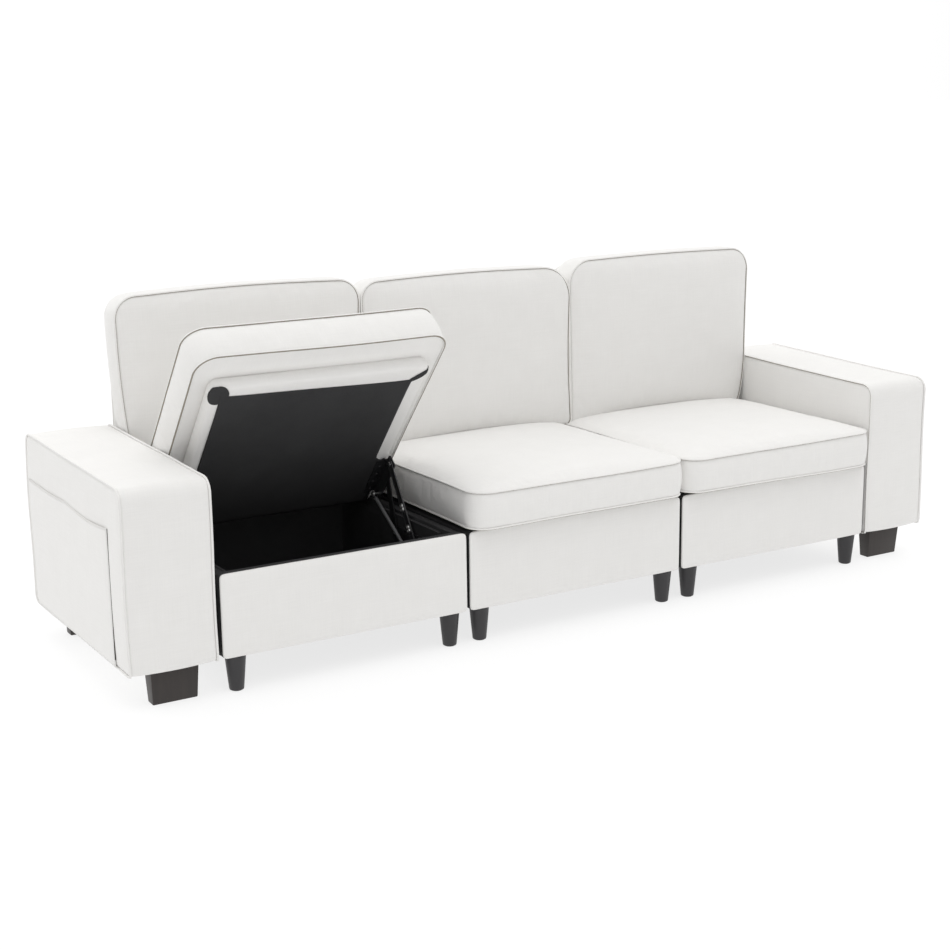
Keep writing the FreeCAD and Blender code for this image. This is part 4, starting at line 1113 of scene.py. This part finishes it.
def build_dust_cover(seat, board):
    """Black sheet under the lid board, turned under at its rim: a round tab is drawn over the left front
    corner of the board and a slender one over the right one. It spreads under the brackets and is turned up
    over the rear edge. Tabs and rear edge go to the nearest point of the board's cover."""
    low, high = shut_box(seat, "dust_cover")
    corner, far = shut_box(seat, "lid_board")
    left, right, edge, rear, lap, lap_slope = 15 * MM, 36 * MM, 25 * MM, 10 * MM, 30 * MM, 0.4
    drawn, draw_end, slant, skew = 3 * MM, 0.06, 4 * MM, 18 * MM
    under, under_from, under_over, under_gap = 34 * MM, 0.63, 0.05, 2 * MM
    below, hang, offset, cells = 0.8 * MM, 0.7 * MM, 1.6 * MM, 61
    x0, x1, y0, y1 = low.x + left, high.x - right, low.y + edge, far.y - rear
    u, v = np.meshgrid(np.linspace(0, 1, cells), np.linspace(0, 1, cells), indexing="ij")
    side = np.abs(1 - 2 * u)

    def draw(t):
        """Draw of an edge: none at its tab, most of it a tenth along, and half of it at the other end."""
        return drawn * (1 - np.exp(-t / draw_end)) * (1 - 0.5 * np.clip(t, 0, 1))

    flare = under * np.clip((v - under_from) / under_over, 0, 1) * side ** 6
    x = x0 + (x1 - x0) * u + (draw(v) + slant * v) * (1 - 2 * u) * side ** 3
    x += flare * np.where(u < 0.5, -(left - under_gap) / under, 1)
    y = y0 + (y1 - y0) * v + (draw(np.minimum(u, 1 - u)) + skew * u) * (1 - v) ** 4
    wave = 0.4 * MM * (np.sin(x * 24) * np.sin(y * 19) + 0.6 * np.sin(x * 51 + y * 37))
    z = corner.z - below - hang * np.sin(np.pi * u) * np.sin(np.pi * v) + wave * dome(u, v, 0.08)
    shell = Shell()
    points = np.stack([x, y, z], axis=-1)
    shell.grid(points, plane_map(points, 0, 1))
    flat = shell.count
    t = np.linspace(0, 1, 13)[None, :, None]
    over = points[:, -1:] + t * np.array((0, lap, lap_slope * lap))
    shell.grid(over, plane_map(over, 0, 1))
    round_tab = ((x0 - 8 * MM, y0 - 2 * MM), 32 * MM, 32 * MM, 0)
    slender_tab = ((x1 + 22 * MM, y0 + 4 * MM), 41 * MM, 9 * MM, -32)
    for tab in (round_tab, slender_tab):
        disc = tab_disc(*tab, corner, far)
        shell.grid(disc, np.concatenate([disc[..., :2], disc[:, :1, :2]], axis=1), wrap=True)
    name = f"{seat}_dust_sheet"
    piece = add_piece(name, shell.mesh(name), ["lining_cloth"], f"{seat}_lid",
                      [f"{seat}_dust_cover"], 60)
    tabs = piece.vertex_groups.new(name="tabs")
    tabs.add([v.index for v in piece.data.vertices if v.index >= flat], 1.0, "REPLACE")
    wrap = piece.modifiers.new("wrap", "SHRINKWRAP")
    wrap.target = board
    wrap.vertex_group = "tabs"
    wrap.offset = offset
    graph = bpy.context.evaluated_depsgraph_get()
    piece.data = bpy.data.meshes.new_from_object(piece.evaluated_get(graph))
    piece.modifiers.remove(wrap)
    piece.vertex_groups.clear()
    piece.data.transform(lid_place(seat))
    flat_size = (high.x - low.x + 2 * edge, y1 - low.y + lap + edge)
    lay_sheet(piece, bpy.context.scene.sofa_build.cloth, flat_size)


def tab_disc(spot, long, wide, tilt, corner, far):
    """Elliptical tab, tilted in degrees, under the corner of a board. Past the board's rim it rises by half
    of the way that it is past."""
    rings, spokes, below, front_rim, side_rim = 30, 84, 1.4 * MM, 12 * MM, 4 * MM
    ring = np.linspace(0, 1, rings)[:, None]
    angle = np.linspace(0, 2 * np.pi, spokes, endpoint=False)[None]
    turn = math.radians(tilt)
    first, second = long * ring * np.cos(angle), wide * ring * np.sin(angle)
    across = spot[0] + first * math.cos(turn) - second * math.sin(turn)
    along = spot[1] + first * math.sin(turn) + second * math.cos(turn)
    past = np.clip(corner.y + front_rim - along, 0, None)
    past += np.clip(corner.x + side_rim - across, 0, None) + np.clip(across - far.x + side_rim, 0, None)
    return np.stack([across, along, corner.z - below + 0.5 * past], axis=-1)


# Arms

def build_arms():
    """Arm covers: piped side panels with a gusset over the front and top, the front top edge rounded."""
    puff = bpy.context.scene.sofa_build.puff
    inset, extra, cord_out, bulge, wave, cell = 1.5 * MM, 1.5 * MM, 0.8 * MM, 5 * MM, 1.8 * MM, 12.5 * MM
    radii, bows = (8 * MM, 24 * MM, 24 * MM, 34 * MM), (1 * MM, -5 * MM, 1 * MM, 2 * MM)
    rows, panel_edge, right_rise, fill = 18, 0.12, 8 * MM, 0.95
    for n, (arm, sign) in enumerate(ARMS.items()):
        low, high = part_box(f"{arm}_arm_cover")
        deep, tall = high.y - low.y - 2 * inset, high.z - low.z - inset
        sides = outline(deep, tall, radii, bows, cell)
        outer, inner = puff, puff + extra
        # Plain cords on the left arm; the right arm's cords get painted shade in the given angle ranges, where
        # they meet the cloth.
        rises, crease_shades, rise = (outer, inner), ((), ()), 0
        if sign > 0:
            rises, crease_shades, rise = (inner, outer), ((195, 250), (290, 345)), right_rise
        form = boxed_form(sides, high.x - low.x - 2 * inset, *rises, bulge, rows, wave,
                          seed=n + 45, low_edge=panel_edge, high_edge=panel_edge)
        settle_arm(form, deep, tall, rise)
        matrix = axes((low.x + inset, low.y + inset, low.z), ALONG, UP)
        name = f"{arm}_arm_shell"
        piece = add_cover(name, form, matrix, "root", f"{arm}_arm_cover")
        seams = [moved(seam, matrix) for seam in form["seams"]]
        puckers(piece, nearest_seam(vertex_places(piece.data), seams), 60 + n)
        pad_out(piece)
        add_piping(f"{name}_piping", form, matrix, crease_shades, cord_out, "root")
        build_pocket(arm, sign, n)


def settle_arm(form, deep, tall, rise):
    """Lets an arm's top sink towards the front, or rise to the rear, and its rear edge spread towards the
    foot: the sink grows with the height above the middle and the way from the rear, the spread with the cube
    of the way from the front."""
    sink, foot = 12 * MM, 16 * MM
    for grid in grids_of(form):
        along, up = grid[..., 0] / deep, grid[..., 1] / tall
        grid[..., 1] += (rise - (sink + rise) * (1 - along)) * np.clip(2 * up - 1, 0, 1)
        grid[..., 0] += foot * along ** 3 * (1 - up)


def build_pocket(arm, sign, seed):
    """Open-topped pocket on an arm's outer side: a sheet that stands off the arm, whose hem hangs in two
    shallow arcs, with a thin cord along the hem, a thin near-black tube of painted shade for the gap at the front
    edge, and a welt at the rear one."""
    build = bpy.context.scene.sofa_build
    low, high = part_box(f"{arm}_arm_pocket")
    face, arm_face = (low.x, high.x) if sign < 0 else (high.x, low.x)
    front_sag, rear_sag, corner, lift, inset = 10 * MM, 4 * MM, 22 * MM, 2 * MM, 2.4 * MM
    rows, columns, side_edge, foot_edge, ripples, ripple_high = 36, 64, 0.03, 0.04, 6, 0.45 * MM
    v, u = np.meshgrid(np.linspace(0, 1, rows + 1), np.linspace(0, 1, columns + 1), indexing="ij")
    y = low.y + (high.y - low.y) * u
    half = np.where(u < 0.5, u * 2, u * 2 - 1)
    top = high.z - np.where(u < 0.5, front_sag, rear_sag) * np.sin(np.pi * half)
    past = np.clip(y - high.y + corner, 0, corner) / corner
    foot = low.z + lift
    z = foot + (top - foot) * v + corner * (1 - np.sqrt(1 - np.minimum(past, 1) ** 2)) * (1 - v)
    swell = np.clip(np.minimum(u, 1 - u) / side_edge, 0, 1) * np.clip(v / foot_edge, 0, 1)
    dice = np.random.default_rng(80 + seed)
    ripple = sum(np.sin(y * dice.uniform(-30, 30) + z * dice.uniform(-30, 30) + dice.uniform(0, 6))
                 for _ in range(ripples))
    x = arm_face + sign * (inset + swell * (abs(face - arm_face) - 2 * inset + ripple_high * ripple))
    points = np.stack([x, y, z], axis=-1)
    shell = Shell()
    shell.grid(points, plane_map(points, 1, 2))
    name = f"{arm}_pocket_sheet"
    piece = add_piece(name, shell.mesh(name), ["cover_cloth"], "root",
                      [f"{arm}_arm_pocket"], 60)
    gap_shade_radius, welt_radius, out = 1.2 * MM, 1.8 * MM, sign * 0.2 * MM
    trim = Shell()
    tube_grid(trim, points[-1] + (3 * out, 0, 0), build.hem, closed=False)
    # Painted shade: a thin near-black tube along the front edge, for the shadow in the gap there.
    tube_grid(trim, points[2:, 0] + (out, -0.6 * MM, 0), gap_shade_radius, closed=False, mark=1)
    tube_grid(trim, points[:, -1] + (-3 * out, 0.2 * MM, 0), welt_radius, closed=False)
    hem_name = f"{name}_hem"
    hem = add_piece(hem_name, trim.mesh(hem_name), ["cover_cloth", "painted_gap_shade"], "root")
    flat = (high.y - low.y, high.z - low.z)
    lay_sheet(piece, build.cloth, flat)


# Legs

def build_legs():
    """Round tapered legs with a plate at the top, a soft foot edge and a glide; block legs that taper too."""
    top, foot = 27 * MM, 19 * MM
    for seat in SEATS:
        low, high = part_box(f"{seat}_legs")
        tall = high.z - low.z
        glide = [(0, 0), (10 * MM, 0), (14.5 * MM, 0.4 * MM), (15 * MM, 1.6 * MM)]
        taper = [(16.5 * MM, 1.8 * MM), (18.2 * MM, 2.6 * MM), (foot, 4.8 * MM), ((foot + top) / 2, tall / 2),
                 (top - 0.3 * MM, tall - 6 * MM)]
        plate = [(top, tall - 4.5 * MM), (top, tall - 1.2 * MM), (top - 1.5 * MM, tall - 0.4 * MM),
                 (0, tall - 0.4 * MM)]
        shell = Shell()
        for x in (low.x + top, high.x - top):
            for y in (low.y + top, high.y - top):
                lathe(shell, glide + taper + plate, Matrix.Translation((x, y, low.z)), 40)
        name = f"{seat}_round_legs"
        add_piece(name, shell.mesh(name), ["leg_plastic"], "root", [f"{seat}_legs"])
    wide, wider, thick, thicker, half = 117 * MM, 8 * MM, 35 * MM, 15 * MM, 25 * MM
    edge, corner, lip = 2 * MM, 2.5 * MM, 0.3 * MM
    for arm in ARMS:
        low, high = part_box(f"{arm}_block_legs")
        tall, eased = high.z - low.z, edge * 0.3
        levels = ((0, edge), (eased, eased), (edge, 0), (tall / 2, 0), (tall - edge, 0),
                  (tall - eased, eased), (tall - lip, edge))
        rings = []
        for height, inset in levels:
            grow = height / tall
            flat = rectangle(wide + wider * grow - 2 * inset, thick + thicker * grow - 2 * inset, corner)
            rings.append(at_height(flat, height))
        shell = Shell()
        for y in (low.y + half, high.y - half):
            stack(shell, rings, Matrix.Translation(((low.x + high.x) / 2, y, low.z)))
        name = f"{arm}_wood_legs"
        add_piece(name, shell.mesh(name), ["stained_wood"], "root", [f"{arm}_block_legs"])


# Lift hardware: layers are measured from the wall's inner face

SHEET = 3 * MM  # steel of the plates and brackets
PLATE_AT, WEB_AT = 10 * MM, 17.6 * MM
BARS_HEAD_AT, ARMS_HEAD_AT, SPRINGS_HEAD_AT = 24.9 * MM, 17.3 * MM, 37.9 * MM
EYE = 6.05 * MM  # radius of a spring's wire eye
CHANNEL_SHARE = 0.2  # depth of a bar's channel, of its thickness


def head_profile(radius, high):
    """Domed head: flat foot, rounded shoulder, slightly raised middle."""
    return [(0, 0), (radius, 0), (radius, high * 0.45), (radius * 0.86, high * 0.85), (radius * 0.5, high),
            (0, high * 1.05)]


def facing(point, sign):
    """Matrix for a turned form whose height runs along X, towards sign."""
    return axes(point, ALONG, UP) if sign > 0 else axes(point, UP, ALONG)


def eyelet_profile(radius, high):
    """Hollow rivet: raised ring round a sunk middle."""
    return [(0, high * 0.3), (radius * 0.4, high * 0.3), (radius * 0.48, high), (radius * 0.86, high),
            (radius, high * 0.6), (radius, 0)]


def flat_bar(shell, foot, tip, thick, half, rim):
    """Pressed bar from foot to tip in a plane across X: rounded edges, and a shallow channel inside its rim
    on both faces."""
    run, ease, slope, middle = (tip - foot).length, 0.5 * MM, 1 * MM, half * 0.5
    low_face = [(middle, CHANNEL_SHARE), (rim + slope, CHANNEL_SHARE), (rim, 0.02), (ease, 0), (0, 0.15)]
    high_face = [(inset, 1 - level) for inset, level in reversed(low_face)]
    rings = [at_height(oblong(run, half - inset), thick * level) for inset, level in low_face + high_face]
    along = (tip - foot).normalized()
    stack(shell, rings, axes(foot, along, ACROSS.cross(along)))


def build_bars():
    """Lift bars and second arms with their rivets."""
    metal = bpy.context.scene.sofa_metal
    half, thick = metal.bar_half, metal.bar_thick
    eyelet, eyelet_high, eyelet_shares = 8.5 * MM, 5 * MM, (0.18, 0.22, 0.44, 0.48)
    for seat in SEATS:
        bars, lid = JOINTS[f"{seat}_bars_hinge"], JOINTS[f"{seat}_lid_hinge"]
        arm_foot = Vector(JOINTS[f"{seat}_second_arms_hinge"]["pos_m"])
        arm_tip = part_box(f"{seat}_second_arms")[1] - Vector((0, half, half))
        bar_foot, bar_tip = Vector(bars["pos_m"]), Vector(lid["pos_m"])
        for node, body, foot, tip, finish, shares in (
                ("lift_bars", "bars", bar_foot, bar_tip, "coated_steel", eyelet_shares),
                ("second_arms", "second_arms", arm_foot, arm_tip, "dull_steel", ())):
            low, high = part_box(f"{seat}_{node}")
            shell = Shell()
            floor = thick * CHANNEL_SHARE
            for x, way, face in ((low.x, 1, thick - floor), (high.x - thick, -1, floor)):
                start, end = Vector((x, foot.y, foot.z)), Vector((x, tip.y, tip.z))
                flat_bar(shell, start, end, thick, half, metal.rim)
                for share_along in shares:
                    spot = start.lerp(end, share_along) + Vector((face, 0, 0))
                    lathe(shell, eyelet_profile(eyelet, eyelet_high), facing(spot, way), 24, mark=1)
            name = f"{seat}_{node}_pressed"
            add_piece(name, shell.mesh(name), [finish, "bright_steel"], f"{seat}_{body}",
                      [f"{seat}_{node}"], 30)


def flat_plate(shell, x, low, high):
    """Plate across X with rounded corners and eased edges. low and high are its (y, z) corners."""
    wide, tall = high[0] - low[0], high[1] - low[1]
    ease, radius = 0.5 * MM, 9 * MM
    rings = [at_height(rectangle(wide - 2 * inset, tall - 2 * inset, radius - inset), height)
             for inset, height in ((ease, 0), (0, ease), (0, SHEET - ease), (ease, SHEET))]
    stack(shell, rings, axes((x, (low[0] + high[0]) / 2, (low[1] + high[1]) / 2), ALONG, UP))


def pin_between(shell, x, way, spot, start, end):
    """Stepped pin along X at a (y, z) spot: shank from layer start to end, and its head beyond."""
    metal = bpy.context.scene.sofa_metal
    run, shank, radius, high = end - start, 4 * MM, metal.head, metal.head_high
    profile = [(0, 0), (shank, 0), (shank, run), (radius, run), (radius, run + high * 0.45),
               (radius * 0.86, run + high * 0.85), (radius * 0.4, run + high), (0, run + high)]
    lathe(shell, profile, facing((x + way * start, spot[0], spot[1]), way), 24, mark=1)


def build_plates():
    """Hinge plates on the box walls and angle brackets under the lids, with their pins and screws."""
    reach, screws_at, flange_late, flange_cell, flange_edge = 34 * MM, 36 * MM, 18 * MM, 30 * MM, 0.6 * MM
    plate_side, plate_end, web_start, web_end, web_screws = 9 * MM, 8 * MM, 14 * MM, 12 * MM, 5
    plate_screw, web_screw = head_profile(4.2 * MM, 2 * MM), head_profile(4.6 * MM, 2.2 * MM)
    for seat in SEATS:
        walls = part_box(f"{seat}_floor_board")
        feet = [JOINTS[f"{seat}_{kind}_hinge"]["pos_m"] for kind in ("bars", "second_arms", "springs")]
        near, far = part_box(f"{seat}_hinge_plates")
        web, web_far = shut_box(seat, "lid_brackets")
        fixed, lid, top = Shell(), Shell(), web_far.z
        for x, way in ((walls[0].x, 1), (walls[1].x, -1)):
            def lower_x(layer, thick, x=x, way=way):
                """Lower X of a layer that begins at a distance from the wall."""
                return x + way * layer - (thick if way < 0 else 0)

            flat_plate(fixed, lower_x(PLATE_AT, SHEET), (near.y, near.z), (far.y, far.z))
            for foot, layer in zip(feet, (BARS_HEAD_AT, ARMS_HEAD_AT, SPRINGS_HEAD_AT)):
                pin_between(fixed, x, way, (foot[1], foot[2]), PLATE_AT + SHEET, layer)
            for y in (near.y + plate_side, (near.y + far.y) / 2, far.y - plate_side):
                for z in (near.z + plate_end, far.z - plate_end):
                    lathe(fixed, plate_screw, facing((x + way * (PLATE_AT + SHEET), y, z), way), 20)
            flat_plate(lid, lower_x(WEB_AT, SHEET), (web.y, web.z), (web_far.y, top))
            flange = lower_x(WEB_AT, reach)
            soft_block(lid, (flange, web.y + flange_late, top - SHEET), (flange + reach, web_far.y, top),
                       flange_edge, flange_cell)
            for tip, layer in zip(shut_tips(), (BARS_HEAD_AT, SPRINGS_HEAD_AT)):
                pin_between(lid, x, way, tip, WEB_AT + SHEET, layer)
            for y in np.linspace(web.y + web_start, web_far.y - web_end, web_screws):
                lathe(lid, web_screw, axes((x + way * screws_at, y, top - SHEET), ALONG, ACROSS), 20)
        for name, shell, body, node in ((f"{seat}_wall_plates", fixed, "root", "hinge_plates"),
                                        (f"{seat}_lid_angles", lid, f"{seat}_lid", "lid_brackets")):
            mesh = shell.mesh(name)
            if body != "root":
                mesh.transform(lid_place(seat))
            add_piece(name, mesh, ["coated_steel", "bright_steel"], body,
                      [f"{seat}_{node}"], 30)


def shut_tips():
    """(y, z) of the bar's pin and of the spring's pin on a shut lid, read from the middle seat's."""
    lid = JOINTS["middle_lid_hinge"]["pos_m"]
    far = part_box("middle_lift_springs")[1]
    eye = EYE + bpy.context.scene.sofa_metal.wire
    return (lid[1], lid[2]), (far.y - eye, far.z - eye)


def build_springs():
    """Pull springs: ribbed sleeve with a collar at each end, and a wire eye round each pin."""
    metal = bpy.context.scene.sofa_metal
    collar, neck, collar_long, ease = metal.sleeve, 16 * MM, 6 * MM, 1 * MM
    rib_pitch, rib_high, groove_share, open_share = 2.4 * MM, 0.35 * MM, 0.86, 0.655
    for seat in SEATS:
        low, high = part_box(f"{seat}_lift_springs")
        foot = Vector(JOINTS[f"{seat}_springs_hinge"]["pos_m"])
        tip = high - Vector((0, EYE + metal.wire, EYE + metal.wire))
        shell = Shell()
        for x in (low.x + metal.sleeve, high.x - metal.sleeve):
            start, end = Vector((x, foot.y, foot.z)), Vector((x, tip.y, tip.z))
            run, along = (end - start).length, (end - start).normalized()
            count = int((run - 2 * neck - 2 * collar_long) / rib_pitch) * 4
            at = np.linspace(neck + collar_long, run - neck - collar_long, count)
            ribs = metal.sleeve * groove_share + rib_high * np.sin(np.arange(count) * np.pi / 2)
            foot_collar = [(0, neck), (collar * 0.8, neck), (collar, neck + ease),
                           (collar, neck + collar_long - ease)]
            tip_collar = [(radius, run - height) for radius, height in reversed(foot_collar)]
            side = along.cross(ACROSS).normalized()
            lathe(shell, [*foot_collar, *zip(ribs, at), *tip_collar], axes(start, ACROSS, side), 14)
            for pin, way in ((start, along), (end, -along)):
                turn = np.linspace(0, 2 * np.pi, 26, endpoint=False)[:, None]
                ring = np.array(pin) + EYE * (np.cos(turn) * np.array(way) + np.sin(turn) * np.array(side))
                tube_grid(shell, ring, metal.wire, mark=1, pucker=0.0)
                stem = np.array([pin + way * s for s in np.linspace(EYE, neck + ease, 5)])
                tube_grid(shell, stem, metal.wire, closed=False, mark=1, pucker=0.0)
        name = f"{seat}_sleeved_springs"
        piece = add_piece(name, shell.mesh(name), ["sleeve_grey", "bright_steel"], f"{seat}_springs",
                          [f"{seat}_lift_springs"], 60)
        if not is_open(seat):
            way = Vector((0, tip.y - foot.y, tip.z - foot.z)).normalized()
            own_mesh(piece)


# Kept CAD nodes

def finish_kept_nodes():
    """CAD nodes that stay in sight get the finish of their slot."""
    slots = {part["node"]: part["material_slot"] for part in frame["record"]["subparts"]}
    for name, node in frame["nodes"].items():
        if not node.hide_render:
            finish = "lining_cloth" if name.endswith("inner_battens") else SLOT_FINISH[slots[name]]
            node.data.materials.clear()
            node.data.materials.append(finish_of(finish))


# Stage

def build_stage():
    """Pale floor, a soft key light from above, a white world and the camera at the photograph's angle."""
    stage = bpy.context.scene.sofa_stage
    scene = bpy.context.scene
    half = 60.0
    mesh = bpy.data.meshes.new("floor")
    corners = [(-half, -half, 0), (half, -half, 0), (half, half, 0), (-half, half, 0)]
    mesh.from_pydata(corners, [], [(0, 1, 2, 3)])
    mesh.materials.append(finish_of("studio_floor"))
    floor = bpy.data.objects.new("floor", mesh)
    scene.collection.objects.link(floor)
    light = bpy.data.lights.new("key", "SUN")
    light.energy, light.angle = stage.key, math.radians(50)
    lamp = bpy.data.objects.new("key", light)
    towards_light = Vector((0.1, -0.3, 1.0))
    lamp.rotation_euler = towards_light.to_track_quat("Z", "Y").to_euler()
    scene.collection.objects.link(lamp)
    scene.world = Sky("studio").world
    scene.view_settings.view_transform = "Standard"
    a, e, r = (math.radians(x) for x in (stage.azimuth, stage.elevation, stage.roll))
    back = Vector((math.sin(a) * math.cos(e), -math.cos(a) * math.cos(e), math.sin(e)))
    right = Vector((math.cos(a), math.sin(a), 0))
    up = back.cross(right)
    x_axis = right * math.cos(r) + up * math.sin(r)
    y_axis = up * math.cos(r) - right * math.sin(r)
    data = bpy.data.cameras.new("camera")
    data.lens = stage.focal * data.sensor_width / stage.picture
    data.clip_end = 100
    camera = bpy.data.objects.new("camera", data)
    scene.collection.objects.link(camera)
    camera.matrix_world = axes(Vector(stage.target) + back * stage.distance, x_axis, y_axis)
    scene.camera = camera


# Operators and panel

class SOFA_OT_seat_cushions(bpy.types.Operator):
    """Make the three boxed seat cushions and their piping"""
    bl_idname = "sofa.seat_cushions"
    bl_label = "Seat cushions"

    def execute(self, context):
        build_seat_cushions()
        return {"FINISHED"}


class SOFA_OT_backs(bpy.types.Operator):
    """Make the back cushions and the covered frames behind them"""
    bl_idname = "sofa.backs"
    bl_label = "Backs"

    def execute(self, context):
        build_back_cushions()
        build_back_frames()
        return {"FINISHED"}


class SOFA_OT_boxes(bpy.types.Operator):
    """Make the front panels, side walls and linings of the storage boxes"""
    bl_idname = "sofa.boxes"
    bl_label = "Storage boxes"

    def execute(self, context):
        build_front_panels()
        build_side_walls()
        build_linings()
        return {"FINISHED"}


class SOFA_OT_lids(bpy.types.Operator):
    """Make the covered lid boards and their dust covers"""
    bl_idname = "sofa.lids"
    bl_label = "Lids"

    def execute(self, context):
        build_lids()
        return {"FINISHED"}


class SOFA_OT_arms(bpy.types.Operator):
    """Make the arm covers, their piping and their side pockets"""
    bl_idname = "sofa.arms"
    bl_label = "Arms"

    def execute(self, context):
        build_arms()
        return {"FINISHED"}


class SOFA_OT_legs(bpy.types.Operator):
    """Make the round legs of the seats and the block legs of the arms"""
    bl_idname = "sofa.legs"
    bl_label = "Legs"

    def execute(self, context):
        build_legs()
        return {"FINISHED"}


class SOFA_OT_hardware(bpy.types.Operator):
    """Make the lift bars, second arms and springs"""
    bl_idname = "sofa.hardware"
    bl_label = "Lift hardware"

    def execute(self, context):
        build_bars()
        build_plates()
        build_springs()
        return {"FINISHED"}


class SOFA_OT_kept_nodes(bpy.types.Operator):
    """Give the frame's own parts that stay in sight their finish"""
    bl_idname = "sofa.kept_nodes"
    bl_label = "Kept parts"

    def execute(self, context):
        finish_kept_nodes()
        return {"FINISHED"}


class SOFA_OT_stage(bpy.types.Operator):
    """Make the floor, the lights and the camera"""
    bl_idname = "sofa.stage"
    bl_label = "Stage"

    def execute(self, context):
        build_stage()
        return {"FINISHED"}


STEPS = (SOFA_OT_seat_cushions, SOFA_OT_backs, SOFA_OT_boxes, SOFA_OT_lids, SOFA_OT_arms, SOFA_OT_legs,
         SOFA_OT_hardware, SOFA_OT_kept_nodes, SOFA_OT_stage)


class SOFA_PT_panel(bpy.types.Panel):
    """Lists the steps that dress the sofa"""
    bl_idname = "SOFA_PT_panel"
    bl_label = "Sofa"
    bl_space_type = "VIEW_3D"
    bl_region_type = "UI"
    bl_category = "Sofa"

    def draw(self, context):
        for step in STEPS:
            self.layout.operator(step.bl_idname)


def register():
    for group in GROUPS.values():
        bpy.utils.register_class(group)
    for name, group in GROUPS.items():
        setattr(bpy.types.Scene, name, PointerProperty(type=group))
    for step in (*STEPS, SOFA_PT_panel):
        bpy.utils.register_class(step)


def unregister():
    for step in (SOFA_PT_panel, *reversed(STEPS)):
        bpy.utils.unregister_class(step)
    for name, group in GROUPS.items():
        delattr(bpy.types.Scene, name)
        bpy.utils.unregister_class(group)


def main():
    register()
    for step in STEPS:
        family, action = step.bl_idname.split(".")
        getattr(getattr(bpy.ops, family), action)()


if __name__ == "__main__":
    main()
